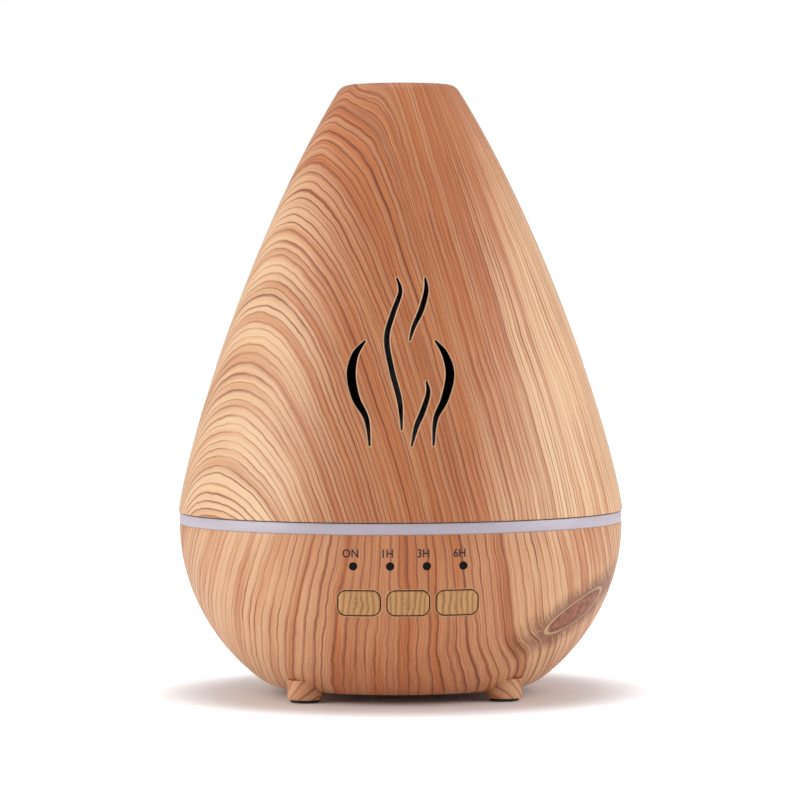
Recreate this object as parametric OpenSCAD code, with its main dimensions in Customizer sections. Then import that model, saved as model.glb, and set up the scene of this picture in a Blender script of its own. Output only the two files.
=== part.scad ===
// Ultrasonic essential oil diffuser: a wood-grain cover over a translucent lid, a water tank, and a base
// that holds the fan, the boards, the control panel and the DC inlet.
// Millimetres. The origin is on the surface it stands on, on the axis. +Z is up, the panel faces -Y.

/* [Overall] */
// Diameter of the outer cover at its lower edge
cover_d = 150.2; // [145:0.2:181]
// Height from the surface it stands on to the flat top
total_h = 205; // [195:1:246]

/* [Outer cover] */
// Diameter where the side meets the rounded top edge
shoulder_d = 41; // [36:1:52]
// Radius of the rounded top edge
top_round = 4.5; // [2:0.5:6]
// Wall of the outer cover, measured level
cover_wall = 2.6; // [1.8:0.1:3.4]
// Radius of the mist outlet in the top
outlet_r = 6.5; // [5:0.5:8]
// Radius of the shallow dish around the outlet
dish_r = 12.5; // [10:0.5:14]
// Depth of the dish
dish_depth = 1.2; // [0.6:0.1:1.6]
// Length of the collar that covers the chimney's end
collar_h = 13; // [9:1:18]
// Height of the middle of the flame slots
flame_z = 112; // [100:1:130]
// Turn of the flame slots away from the panel's centre line, in degrees
flame_turn = -1.9; // [-8:0.1:8]

/* [Base] */
// Height of the base's rim over the surface
rim_z = 57.5; // [50:0.5:69]
// How far the rim stands inside the cover's edge
rim_inset = 0.3; // [0:0.1:1.5]
// Height of the base's flat bottom over the surface
clear_z = 3; // [2:0.5:6]
// Diameter of the flat bottom
bottom_d = 88; // [80:1:100]
// Wall of the base
base_wall = 2.4; // [1.8:0.1:3]
// Diameter of the feet
foot_d = 11.6; // [9.4:0.2:14]
// Distance of the feet from the axis
foot_circle = 46.7; // [44:0.1:52]
// Thickness of the rubber pads
pad_h = 0.8; // [0.5:0.1:1.5]

/* [Light ring] */
// Height of the light ring
ring_h = 3.6; // [2.5:0.1:6]
// Gap between the ring and the cover
cover_gap = 0.3; // [0.2:0.1:1]
// Width of the ring's LED board
led_board_w = 5.4; // [4:0.2:6]

/* [Control panel] */
// Width of a button
button_w = 13.4; // [10:0.1:15]
// Height of a button, measured upright
button_h = 8; // [6:0.1:9.6]
// Corner radius of a button
button_round = 2.6; // [1:0.1:3]
// Distance between buttons
button_pitch = 15.75; // [15.5:0.05:18.9]
// Height of the buttons' centres
button_z = 35.3; // [34:0.1:38]
// Travel of a button
button_travel = 0.5; // [0.3:0.1:0.8]
// Gap around a button
button_gap = 0.35; // [0.2:0.05:0.5]
// Distance between indicator windows
led_pitch = 11.77; // [9.8:0.01:13.6]
// Height of the indicator windows
led_z = 47.4; // [46:0.1:48.5]
// Radius of an indicator window
led_r = 1.25; // [0.8:0.05:1.6]

/* [Tank] */
// Height of the tank's underside
tank_z = 25.5; // [24.5:0.5:27]
// Outer radius of the tank's floor
tank_floor_r = 42; // [40:0.5:44]
// Wall of the tank
tank_wall = 2.2; // [1.6:0.1:2.8]
// Height of the air duct over the tank's rim
duct_rise = 13; // [8:1:16]
// Outer radius of the air duct
duct_r = 9; // [7:0.5:9.5]
// Radius of the ultrasonic disc
disc_r = 10; // [8:0.5:10.5]

/* [Lid] */
// Wall of the inner cover
lid_wall = 1.6; // [1.2:0.1:2]
// Height of the dome's crown over the tank's rim
dome_h = 35; // [30:1:42]
// Outer radius of the chimney at its foot
chimney_foot_r = 15; // [12:0.5:17]
// Outer radius of the chimney at its end
chimney_end_r = 9; // [7.5:0.5:9.5]

/* [Fan] */
// Side of the square fan
fan_side = 40; // [34:1:42]
// Thickness of the fan
fan_h = 10; // [8:0.5:10]
// Distance of the fan's axis behind the main axis
fan_y = 14; // [13:0.5:15]
// Number of fan blades
blades = 7; // [5:1:9]

/* [DC inlet] */
// Height of the inlet's axis
jack_z = 27; // [25:0.5:29]
// Radius of the inlet's centre pin
jack_pin_r = 1.05; // [0.8:0.05:1.25]
// Radius of the inlet's bore
jack_bore_r = 2.75; // [2.4:0.05:3]

/* [Hidden] */
$fn = 96;
wood = "#D8A36C";
milky = "#ECE8EE";
white_plastic = "#F1F0EC";
board_green = "#1F6B45";
steel = "#B9BCC0";
dark = "#2A2A2C";

slack = 0.25;            // play between pieces that only lie in each other
thread_play = 0.05;      // play of a screw in its hole
eps = 0.01;
profile_steps = 22;      // straight stretches along a curved profile
board_screw_r = 1.2;
cover_screw_r = 1.25;
panel_screw_x = 22.8;
panel_screw_z = 45.5;
proud = 0.2;             // how far the buttons stand out of the base's side
spin_fn = 128;

// ---- curves ----
function bezier(p, t) = pow(1 - t, 3) * p[0] + 3 * pow(1 - t, 2) * t * p[1]
    + 3 * (1 - t) * t * t * p[2] + pow(t, 3) * p[3];
function curve(p, n) = [for (i = [0 : n]) bezier(p, i / n)];
function arc(c, r, a0, a1, n) = [for (i = [0 : n]) let (a = a0 + (a1 - a0) * i / n) c + r * [cos(a), sin(a)]];
function by_height(points) = [for (p = points) [p[1], p[0]]];

// ---- outer cover's profile ----
ring_top = rim_z + ring_h;
cover_z = ring_top + cover_gap;
cover_r = cover_d / 2;
shoulder_r = shoulder_d / 2;
side_h = total_h - cover_z;
low_handle = [-1.8, 0.131 * side_h];
high_handle = [0.56 * (cover_r - shoulder_r), -0.345 * side_h];
lean = atan2(high_handle[0], -high_handle[1]);
shoulder_z = total_h - top_round * (1 - sin(lean));
cover_curve = [[cover_r, cover_z], [cover_r, cover_z] + low_handle,
    [shoulder_r, shoulder_z] + high_handle, [shoulder_r, shoulder_z]];
round_centre = [shoulder_r, shoulder_z] - top_round * [cos(lean), sin(lean)];
cover_side = curve(cover_curve, profile_steps);
cover_top_wall = 3;

// ---- base's profile ----
rim_r = cover_r - rim_inset;
bottom_r = bottom_d / 2;
rim_handle = 0.633 * (rim_z - clear_z);
bottom_handle = 3.5;
base_curve = [[bottom_r, clear_z], [bottom_r + bottom_handle, clear_z], [rim_r, rim_z - rim_handle],
    [rim_r, rim_z]];
inside_curve = [[bottom_r - base_wall, clear_z + base_wall],
    [bottom_r + bottom_handle - base_wall, clear_z + base_wall],
    [rim_r - base_wall, rim_z - rim_handle], [rim_r - base_wall, rim_z]];
base_side = curve(base_curve, profile_steps);
inside_side = curve(inside_curve, profile_steps);
function base_r(z) = lookup(z, by_height(base_side));
function inside_r(z) = lookup(z, by_height(inside_side));
foot_at = [for (a = [45 : 90 : 315]) foot_circle * [cos(a), sin(a)]];
post_r = 4;
post_top = tank_z - 3.4;
screw_r = 1.5;
head_r = 2.9;
head_z = clear_z + 4;
foot_edge = 0.6;
base_floor = clear_z + base_wall;

// ---- light ring ----
ring_r = rim_r - 0.1;
ring_band = 2.5;
web_in = ring_r - 8.7;
web_h = 1.6;
lip_out = rim_r - base_wall - 0.3;
lip_wall = 1.6;
lip_h = 3;
led_board_z = rim_z - 6.5;
led_board_h = 1.2;
led_board_mid = rim_r - 6.8;
ring_led_count = 8;
ring_led = [3, 3, 1.6];

// ---- control panel ----
button_x = [-button_pitch, 0, button_pitch];
led_x = [for (i = [-1.5 : 1 : 1.5]) i * led_pitch];
corner_x = button_pitch + button_w / 2 + 0.8;
corner_z = button_z - button_h / 2 - 0.8;
button_back = sqrt(pow(inside_r(corner_z), 2) - pow(corner_x, 2)) - 0.4;
button_flange = 1;
panel_y = button_back - button_flange - 3.7;
panel_board = [52, 1.6, 20];
panel_z = 30;
tact = [6, 2, 6];
plunger_r = 1.6;
plunger_l = 2.3;
indicator_l = 3.8;

// ---- DC inlet ----
inlet_body = [9, 11.4, 10];
inlet_seat = min(inside_r(jack_z) - 3.6, inside_r(jack_z - inlet_body[2] / 2) - 0.3);
inlet_wall = 2.5;
inlet_face = inlet_seat + inlet_wall;
barrel_r = 4;
bore_depth = 9;
pin_l = 8;
mouth_y = inlet_face + 0.6;

// ---- tank ----
floor_top = tank_z + 2.5;
rim_room = ring_r - ring_band - 0.3;
flange_z = rim_z + web_h + 0.2;
flange_top = ring_top - 0.1;
mouth_r = rim_r - 11.4;
waist = [min(mouth_r - 9.4, panel_y - panel_board[1] - 1.2), rim_z - 7.5];
duct_y = min(tank_floor_r - duct_r + 5, inlet_seat - inlet_body[1] - duct_r - 0.6);
duct_wall = 1.6;
duct_low = tank_z - 7.1;
duct_top = flange_top + duct_rise;
boss_r = disc_r + 6;
seal_r = disc_r + 1.4;
seat_z = tank_z + 0.8;
boss_z = tank_z - 3.2;
well_r = disc_r - 1.5;
disc_z = tank_z - 1.5;
disc_h = 0.7;
retainer_h = 1;
retainer_screw_circle = boss_r - 2.2;
small_screw_r = 0.9;

// ---- lid ----
lid_z = flange_top + 0.3;
lid_flange = 1.6;
plug_r = mouth_r - tank_wall - 0.4;
plug_h = lid_z - rim_z - 0.4;
dome_r = mouth_r + 0.5;
crown_z = lid_z + dome_h;
chimney_z = total_h - 11;
dome_curve = [[dome_r, lid_z + lid_flange], [dome_r, crown_z - 12], [40, crown_z - 4],
    [chimney_foot_r, crown_z]];
collar_r = chimney_end_r + 1.4;

// ---- fan ----
fan_z = base_floor - 0.2;
fan_bore = fan_side / 2 - 1.2;
fan_hole = fan_side * 0.4;
hub_r = 9.5;
guide_z = fan_z + fan_h;
guide_h = 4.4;
guide_wall = 1.2;
grille_r = 28;
cover_flange = 3;
cover_plate = 1.2;
cover_screw_circle = grille_r + 1.7;
cover_screw_at = [for (a = [90, 210, 330]) [0, fan_y] + cover_screw_circle * [cos(a), sin(a)]];

// ---- main board ----
board = [48, 25, 1.6];
board_at = [-board[0] / 2, -min(43, sqrt(pow(inside_r(10), 2) - pow(board[0] / 2, 2)) - 0.5), 10];
board_top = board_at[2] + board[2];
board_hole_at = [for (p = [[-20.5, 2.5], [20.5, 2.5], [-21, 14.5], [21, 14.5]]) [p[0], p[1] + board_at[1]]];
connector = [6, 4.5, 5];
connector_y = board_at[1] + board[1] - 5.5;
connector_x = [-18, -9, 0, 9, 18];
wire_y = connector_y + connector[1] / 2;
wire_z = board_top + connector[2] + 0.3;

// Flame strokes, seen from the front: [x, height from the middle, width] along each centre line
long_flame = [[-0.8, 27.6, 0.4], [0.3, 23.2, 1.3], [-2.2, 16, 1.6], [-4.2, 8, 1.7], [-2.6, -2, 1.7],
    [-0.1, -12, 1.6], [0.5, -21, 0.4]];
upper_flame = [[8.4, 27.6, 0.4], [8.7, 23.4, 1.5], [7, 17.2, 1.7], [4.6, 12, 1.3], [3.3, 7.6, 0.4]];
left_flame = [[-11.3, 7.2, 0.5], [-14.4, 3, 2.1], [-15.7, -3.4, 2.9], [-14.2, -11, 2.5],
    [-10.8, -17.6, 1.6], [-9.8, -26, 0.5]];
right_flame = [[11.6, 7.2, 0.5], [14.6, 3, 2], [16.2, -3.6, 2.8], [14.4, -11.4, 2.4],
    [11.4, -17.8, 1.5], [10.7, -26, 0.5]];
lower_flame = [[8.6, -5.8, 0.4], [9.1, -9.4, 1.4], [7.4, -15, 1.7], [5.2, -20.2, 1.5], [3.7, -26.2, 0.4]];
flames = [long_flame, upper_flame, left_flame, right_flame, lower_flame];
flame_steps = 4;

// ---- wire routes, hand-chosen points ----
disc_route = [[0, wire_y, wire_z], [0, -21, 18.4], [0, -16, 19.6], [0, -9.5, 20], [0, -5.4, 21.4],
    [0, -4.4, disc_z - 0.1]];
fan_route = [[9, fan_y - fan_side / 2 - 0.1, 8.5], [9, -9, 10], [9, -13, 15], [9, -18, 18.4],
    [9, wire_y, wire_z]];
led_route = [[-18, wire_y, wire_z + 0.2], [-20, -22.5, 19], [-28, -24, 20.5], [-40, -24, 24],
    concat((led_board_mid - 10.3) * [-cos(27.9), -sin(27.9)], [38]),
    concat((led_board_mid - 3.6) * [-cos(27.8), -sin(27.8)], [46]),
    [-led_board_mid * cos(28), -led_board_mid * sin(28), led_board_z - 0.4]];
harness_route = [[-9, wire_y, wire_z], [-9, -24, 19.5], [-9, -32, 22.4], [-9, -44, 23],
    [-9, -panel_y + 3, 26], [-9, 0.8 - panel_y, panel_z - 0.3]];
inlet_route = [[18, wire_y, wire_z + 0.5], [19, -20, 19], [25, -12, 21.4], [28, -3, 22.2], [29, 12, 22.6],
    [25, 28, 22.8], [16, 42, 23], [6, min(47.6, inlet_seat - inlet_body[1] - 1.6), 25.2],
    [2.5, inlet_seat - inlet_body[1] - 0.5, jack_z]];

// ---- shared shapes ----
module spun(points) {
    rotate_extrude($fn = spin_fn) polygon(points);
}
module rounded(w, h, r) {
    for (x = [-1, 1], y = [-1, 1]) translate([x * (w / 2 - r), y * (h / 2 - r)]) circle(r);
    square([w - 2 * r, h], center = true);
    square([w, h - 2 * r], center = true);
}
// A rounded rectangle that stands upright, drawn out towards the front from y = -near to y = -far
module front_prism(w, h, r, near, far) {
    translate([0, -near, 0]) rotate([90, 0, 0]) linear_extrude(far - near) rounded(w, h, r);
}
module tube(r, wall, h) {
    difference() {
        cylinder(h = h, r = r);
        translate([0, 0, -eps]) cylinder(h = h + 2 * eps, r = r - wall);
    }
}
module screw(r, head, head_h, length) {
    cylinder(h = head_h, r = head);
    cylinder(h = head_h + length, r = r);
}
// The bowl's outer shape, filled, or the same shape made wider by grow
module base_solid(grow = 0) {
    spun(concat([[0, clear_z]], [for (p = base_side) p + [grow, 0]], [[0, rim_z]]));
}
module base_room() {
    spun(concat([[0, base_floor]], inside_side, [[rim_r - base_wall, rim_z + 1], [0, rim_z + 1]]));
}
// Catmull-Rom points through a route
function smooth_at(p, i, t) = let (
        a = p[max(i - 1, 0)], b = p[i], c = p[i + 1], d = p[min(i + 2, len(p) - 1)])
    0.5 * (2 * b + (c - a) * t + (2 * a - 5 * b + 4 * c - d) * t * t + (3 * b - a - 3 * c + d) * pow(t, 3));
function smooth(p, n) = concat(
    [for (i = [0 : len(p) - 2], k = [0 : n - 1]) smooth_at(p, i, k / n)], [p[len(p) - 1]]);
function unit(v) = v / norm(v);
// Outline of a stroke that follows [x, y, width] points
function stroke(s) = let (
        n = len(s) - 1,
        side = [for (i = [0 : n]) let (
                a = s[max(i - 1, 0)], b = s[min(i + 1, n)], d = unit([b[0] - a[0], b[1] - a[1]]))
            [-d[1], d[0]] * s[i][2] / 2],
        mid = [for (q = s) [q[0], q[1]]])
    concat([for (i = [0 : n]) mid[i] + side[i]], [for (i = [n : -1 : 0]) mid[i] - side[i]]);
// Round wire along a route
module wire(route, d, at = [0, 0, 0]) {
    sides = 6;
    p = smooth(route, 3);
    n = len(p) - 1;
    rings = [for (i = [0 : n]) let (
            t = unit(p[min(i + 1, n)] - p[max(i - 1, 0)]), u = unit(cross(t, [0.31, 0.87, 0.38])),
            v = cross(t, u))
        for (k = [0 : sides - 1]) p[i] + at + d / 2 * (u * cos(k * 360 / sides) + v * sin(k * 360 / sides))];
    walls = [for (i = [0 : n - 1], k = [0 : sides - 1]) let (m = (k + 1) % sides)
        [i * sides + k, i * sides + m, (i + 1) * sides + m, (i + 1) * sides + k]];
    ends = [[for (k = [sides - 1 : -1 : 0]) k], [for (k = [0 : sides - 1]) n * sides + k]];
    triangles = concat([for (w = walls) [w[0], w[1], w[2]]], [for (w = walls) [w[0], w[2], w[3]]]);
    polyhedron(rings, concat(triangles, ends));
}

// ---- lids ----
module outer_cover() {
    inner_side = [for (p = cover_side) if (p[1] < total_h - cover_top_wall - 4) p - [cover_wall, 0]];
    last = inner_side[len(inner_side) - 1];
    outline = concat(cover_side, arc(round_centre, top_round, lean, 90, 6),
        [[dish_r, total_h], [outlet_r, total_h - dish_depth]],
        [[outlet_r, total_h - cover_top_wall], [collar_r, total_h - cover_top_wall],
         [collar_r, total_h - cover_top_wall - collar_h],
         [collar_r + 1.6, total_h - cover_top_wall - collar_h], [collar_r + 1.6, total_h - cover_top_wall],
         [last[0] - 2.5, total_h - cover_top_wall]],
        [for (i = [len(inner_side) - 1 : -1 : 0]) inner_side[i]]);
    color(wood) difference() {
        spun(outline);
        rotate([0, 0, flame_turn]) translate([0, 0, flame_z]) rotate([90, 0, 0])
            for (f = flames) linear_extrude(cover_r + 5) polygon(stroke(smooth(f, flame_steps)));
    }
}
module inner_cover() {
    dome = curve(dome_curve, 14);
    outline = concat([[plug_r, lid_z - plug_h], [plug_r, lid_z], [mouth_r + 3, lid_z],
        [mouth_r + 3, lid_z + lid_flange]], dome, [[chimney_end_r, chimney_z]],
        [[chimney_end_r - lid_wall, chimney_z], [chimney_foot_r - lid_wall, crown_z - lid_wall]],
        [for (i = [len(dome) - 2 : -1 : 1]) dome[i] - [lid_wall, lid_wall]],
        [[plug_r - lid_wall, lid_z + lid_flange], [plug_r - lid_wall, lid_z - plug_h]]);
    color(milky, 0.8) spun(outline);
}
module splash_guard() {
    guard_r = chimney_foot_r - lid_wall - 0.6;
    guard_z = crown_z - 9;
    color(white_plastic) {
        translate([0, 0, guard_z]) cylinder(h = 1.4, r = guard_r);
        translate([0, 0, crown_z - 1]) tube(guard_r, 1.2, 3);
        for (a = [90 : 120 : 330]) rotate([0, 0, a]) translate([guard_r - 1.2, -1.2, guard_z + 0.4])
            cube([1.1, 2.4, crown_z - guard_z]);
    }
}

// ---- light ring ----
module light_ring() {
    color(milky, 0.85) spun([[ring_r, rim_z], [ring_r, ring_top], [ring_r - ring_band, ring_top],
        [ring_r - ring_band, rim_z + web_h], [web_in, rim_z + web_h], [web_in, rim_z],
        [lip_out - lip_wall, rim_z], [lip_out - lip_wall, rim_z - lip_h], [lip_out, rim_z - lip_h],
        [lip_out, rim_z]]);
}
module led_board() {
    color(board_green) translate([0, 0, led_board_z])
        tube(led_board_mid + led_board_w / 2, led_board_w, led_board_h);
}
module ring_leds() {
    color("white") for (i = [0 : ring_led_count - 1]) rotate([0, 0, (i + 0.5) * 360 / ring_led_count])
        translate([led_board_mid - ring_led[0] / 2, -ring_led[1] / 2, led_board_z + led_board_h])
            cube(ring_led);
}

// ---- tank and ultrasonic disc ----
module tank_room() {
    spun([[0, floor_top], [tank_floor_r - tank_wall - 1, floor_top], [waist[0] - tank_wall, waist[1]],
        [mouth_r - tank_wall, rim_z], [mouth_r - tank_wall, flange_top + 1], [0, flange_top + 1]]);
}
module duct(r, more = 0) {
    translate([0, duct_y, duct_low - more]) cylinder(h = duct_top - duct_low + 2 * more, r = r);
}
module water_tank() {
    color(white_plastic) difference() {
        union() {
            spun([[0, tank_z], [tank_floor_r, tank_z], waist, [mouth_r, rim_z], [mouth_r, flange_z],
                [rim_room, flange_z], [rim_room, flange_top + 2.5], [rim_room - 1.7, flange_top + 2.5],
                [rim_room - 1.7, flange_top], [0, flange_top]]);
            for (p = foot_at) translate([p[0], p[1], post_top + 0.2]) cylinder(h = 14, r = post_r);
            translate([0, 0, boss_z]) cylinder(h = 4, r = boss_r);
            duct(duct_r);
        }
        difference() {
            tank_room();
            duct(duct_r);
        }
        translate([0, 0, boss_z - eps]) cylinder(h = seat_z - boss_z + eps, r = seal_r + 0.1);
        translate([0, 0, seat_z - 1]) cylinder(h = 10, r = well_r);
        for (p = foot_at) translate([p[0], p[1], post_top]) cylinder(h = 9, r = screw_r + thread_play);
        for (a = [90, 210, 330]) rotate([0, 0, a]) translate([retainer_screw_circle, 0, boss_z - eps])
            cylinder(h = 4, r = small_screw_r + thread_play);
        duct(duct_r - duct_wall, 1);
    }
}
module ultrasonic_disc() {
    color("#C9C2A8") translate([0, 0, disc_z]) cylinder(h = disc_h, r = disc_r);
}
module disc_seal() {
    color("#E8E6DC") difference() {
        translate([0, 0, boss_z + 0.1]) cylinder(h = seat_z - boss_z - 0.2, r = seal_r);
        translate([0, 0, boss_z]) cylinder(h = 6, r = well_r + 0.2);
        translate([0, 0, disc_z]) cylinder(h = disc_h, r = disc_r);
    }
}
module disc_retainer() {
    color(steel) translate([0, 0, boss_z - retainer_h]) difference() {
        cylinder(h = retainer_h, r = boss_r);
        translate([0, 0, -1]) cylinder(h = 3, r = disc_r - 3);
        for (a = [90, 210, 330]) rotate([0, 0, a]) translate([retainer_screw_circle, 0, -1])
            cylinder(h = 3, r = small_screw_r + 0.2);
    }
}
module retainer_screws() {
    color(steel) for (a = [90, 210, 330]) rotate([0, 0, a])
        translate([retainer_screw_circle, 0, boss_z - retainer_h - 1]) screw(small_screw_r, 1.7, 1, 3.6);
}

// ---- base ----
module base_shell() {
    window_near = 50;
    window_far = rim_r + 5;
    color(wood) difference() {
        union() {
            difference() {
                union() {
                    base_solid();
                    for (p = foot_at) translate([p[0], p[1], pad_h]) {
                        cylinder(h = foot_edge, r1 = foot_d / 2 - foot_edge, r2 = foot_d / 2);
                        translate([0, 0, foot_edge]) cylinder(h = 12, r = foot_d / 2);
                    }
                }
                base_room();
            }
            for (p = foot_at) translate([p[0], p[1], clear_z + 1])
                cylinder(h = post_top - clear_z - 1, r = post_r);
            intersection() {
                base_solid();
                union() {
                    for (p = board_hole_at) translate([p[0], p[1], clear_z])
                        cylinder(h = board_at[2] - clear_z, r = 2.6);
                    for (p = cover_screw_at) translate([p[0], p[1], clear_z]) cylinder(h = 7, r = 2.8);
                    for (a = [0 : 60 : 300]) rotate([0, 0, a])
                        translate([led_board_mid - 1, -1, led_board_z - 4]) cube([10, 2, 4]);
                    translate([-7, inlet_seat, jack_z - 7]) cube([14, 20, 14]);
                    for (x = [-1, 1]) translate([x * panel_screw_x, -panel_y, panel_screw_z])
                        rotate([90, 0, 0]) cylinder(h = 20, r = 2.4);
                }
            }
        }
        translate([0, fan_y, 0]) cylinder(h = base_floor + 2, r = grille_r);
        translate([0, fan_y, 0]) cylinder(h = clear_z + cover_plate, r = grille_r + cover_flange + slack);
        for (p = cover_screw_at) translate([p[0], p[1], 0])
            cylinder(h = clear_z + 6.5, r = cover_screw_r + thread_play);
        for (p = foot_at) translate([p[0], p[1], 0]) {
            cylinder(h = head_z, r = head_r + 0.2);
            cylinder(h = post_top + 1, r = screw_r + 0.2);
        }
        for (p = board_hole_at) translate([p[0], p[1], board_at[2] - 3.5])
            cylinder(h = 4, r = board_screw_r + thread_play);
        for (x = button_x) translate([x, 0, button_z])
            front_prism(button_w + 2 * button_gap, button_h + 2 * button_gap, button_round + button_gap,
                window_near, window_far);
        for (x = led_x) translate([x, -window_near, led_z]) rotate([90, 0, 0])
            cylinder(h = window_far - window_near, r = led_r + 0.1);
        for (x = [-1, 1]) translate([x * panel_screw_x, -panel_y + eps, panel_screw_z]) rotate([90, 0, 0])
            cylinder(h = 6, r = board_screw_r + thread_play);
        translate([0, inlet_seat - 1, jack_z]) rotate([-90, 0, 0]) cylinder(h = 20, r = barrel_r + 0.15);
        translate([0, inlet_face, jack_z]) rotate([-90, 0, 0]) cylinder(h = 20, r = 6.2);
    }
}
module foot_pads() {
    color(dark) for (p = foot_at) translate([p[0], p[1], 0]) cylinder(h = pad_h, r = foot_d / 2 - 1);
}
module bottom_cover() {
    slot_w = 2.2;
    slot_pitch = 4.4;
    color(dark) translate([0, fan_y, clear_z]) difference() {
        union() {
            cylinder(h = cover_plate, r = grille_r + cover_flange);
            cylinder(h = fan_z - clear_z, r = grille_r - 0.2);
        }
        intersection() {
            translate([0, 0, -1]) cylinder(h = 5, r = fan_bore - 1);
            for (i = [-4 : 4]) translate([i * slot_pitch - slot_w / 2, -20, -1]) cube([slot_w, 40, 5]);
        }
        for (x = [-1, 1], y = [-1, 1]) translate([x * fan_hole, y * fan_hole, -1]) {
            cylinder(h = 5, r = screw_r + 0.2);
            cylinder(h = 2.3, r = head_r + 0.1);
        }
        for (p = cover_screw_at) translate([p[0], p[1] - fan_y, -1]) cylinder(h = 4, r = cover_screw_r + 0.2);
    }
}
module bottom_cover_screws() {
    color(steel) for (p = cover_screw_at) translate([p[0], p[1], clear_z - 1.2])
        screw(cover_screw_r, 2.4, 1.2, 6);
}
module tank_screws() {
    color(steel) for (p = foot_at) translate([p[0], p[1], head_z - 2.4])
        screw(screw_r, head_r, 2.4, post_top + 8 - head_z);
}

// ---- fan ----
module fan_frame() {
    strut = 1.2;
    color(dark) translate([0, fan_y, fan_z]) {
        difference() {
            linear_extrude(fan_h) rounded(fan_side, fan_side, 3);
            translate([0, 0, -1]) cylinder(h = fan_h + 2, r = fan_bore);
            for (x = [-1, 1], y = [-1, 1]) translate([x * fan_hole, y * fan_hole, -1])
                cylinder(h = fan_h + 2, r = screw_r + 0.2);
        }
        difference() {
            union() {
                cylinder(h = strut, r = hub_r);
                for (a = [30 : 120 : 270]) rotate([0, 0, a]) translate([0, -1.5, 0])
                    cube([fan_bore + 0.5, 3, strut]);
                cylinder(h = fan_h - 2, r = 3.4);
            }
            translate([0, 0, strut]) cylinder(h = fan_h, r = 2.5);
        }
    }
}
module fan_stator() {
    color("#B4703A") translate([0, fan_y, fan_z + 2]) {
        tube(4.6, 1.1, 4.4);
        for (a = [0 : 90 : 270]) rotate([0, 0, a]) {
            translate([4.2, -1.3, 0.6]) cube([2.3, 2.6, 3.2]);
            intersection() {
                translate([5.2, -2.2, 0]) cube([2, 4.4, 4.4]);
                cylinder(h = 4.4, r = 6.6);
            }
        }
    }
}
module fan_bearing() {
    color("#C9A24B") translate([0, fan_y, fan_z + 1.3]) tube(2.45, 1.45, 6.4);
}
module fan_rotor() {
    blade = [fan_bore - 0.7 - hub_r + 0.8, 9, 1.1];
    color("#3A3A3D") translate([0, fan_y, fan_z]) {
        difference() {
            translate([0, 0, 2]) cylinder(h = fan_h - 2.5, r = hub_r - 0.1);
            translate([0, 0, 1]) cylinder(h = fan_h - 2.7, r = hub_r - 1.2);
        }
        intersection() {
            translate([0, 0, 2.1]) difference() {
                cylinder(h = fan_h - 2.8, r = fan_bore - 0.7);
                translate([0, 0, -1]) cylinder(h = fan_h, r = hub_r - 0.6);
            }
            for (i = [0 : blades - 1]) rotate([0, 0, i * 360 / blades])
                translate([hub_r - 0.8, 0, fan_h / 2 + 0.7])
                rotate([38, 0, 0]) translate([0, -blade[1] / 2, -blade[2] / 2]) cube(blade);
        }
    }
}
module fan_magnet() {
    color("#55565A") translate([0, fan_y, fan_z + 2.1]) tube(hub_r - 1.25, 1.1, fan_h - 4);
}
module fan_shaft() {
    color(steel) translate([0, fan_y, fan_z + 1.5]) cylinder(h = fan_h - 3.2, r = 0.95);
}
module fan_screws() {
    color(steel) for (x = [-1, 1], y = [-1, 1]) translate([x * fan_hole, fan_y + y * fan_hole, clear_z + 0.1])
        screw(screw_r, head_r - 0.1, 1.2, guide_z + 2.6 - clear_z - 1.3);
}
module air_guide() {
    collar = duct_r + slack + 1.3;
    color(white_plastic) difference() {
        union() {
            translate([0, 0, guide_z]) linear_extrude(guide_h) {
                translate([0, fan_y]) rounded(fan_side, fan_side, 3);
                translate([0, duct_y]) circle(collar);
                translate([-collar, fan_y]) square([2 * collar, duct_y - fan_y]);
            }
            translate([0, duct_y, guide_z + guide_h - 1]) cylinder(h = 3.4, r = collar);
        }
        translate([0, 0, guide_z - 1]) linear_extrude(guide_h - guide_wall + 1) {
            translate([0, fan_y]) circle(fan_bore);
            translate([0, duct_y]) circle(duct_r - 0.5);
            translate([-duct_r + 1, fan_y]) square([2 * duct_r - 2, duct_y - fan_y]);
        }
        translate([0, duct_y, guide_z + 1]) cylinder(h = 10, r = duct_r + slack);
        for (x = [-1, 1], y = [-1, 1]) translate([x * fan_hole, fan_y + y * fan_hole, guide_z - 1])
            cylinder(h = 3.8, r = screw_r + thread_play);
    }
}

// ---- main board ----
module main_board() {
    color(board_green) translate(board_at) difference() {
        cube(board);
        for (p = board_hole_at) translate([p[0] - board_at[0], p[1] - board_at[1], -1])
            cylinder(h = 4, r = board_screw_r + 0.2);
    }
}
module main_board_screws() {
    color(steel) for (p = board_hole_at) translate([p[0], p[1], board_top + 1.3]) mirror([0, 0, 1])
        screw(board_screw_r, 2.2, 1.3, board[2] + 3.3);
}
module inductor() {
    color("#7A4A2E") translate([-14, -35.5, board_top]) {
        cylinder(h = 1, r = 4.5);
        cylinder(h = 7, r = 3.6);
        translate([0, 0, 6]) cylinder(h = 1, r = 4.5);
    }
}
module capacitors() {
    color("#22324A") for (c = [[-4, -39, 3.2, 8], [-5, -31.5, 2.5, 7], [1, -29, 2, 5]])
        translate([c[0], c[1], board_top]) cylinder(h = c[3], r = c[2]);
}
module heat_sink() {
    fins = 5;
    color(steel) translate([3, -40, board_top]) {
        translate([0, 5, 0]) cube([14, 1.4, 8.6]);
        for (i = [0 : fins - 1]) translate([i * 13 / (fins - 1), 0, 0]) cube([1, 5.5, 8.6]);
    }
}
module drive_transistor() {
    color(dark) translate([5, -33.6, board_top]) cube([10, 4.4, 8]);
}
module board_connectors() {
    color("#EFEBDD") for (x = connector_x) translate([x - connector[0] / 2, connector_y, board_top])
        cube(connector);
}

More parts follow.
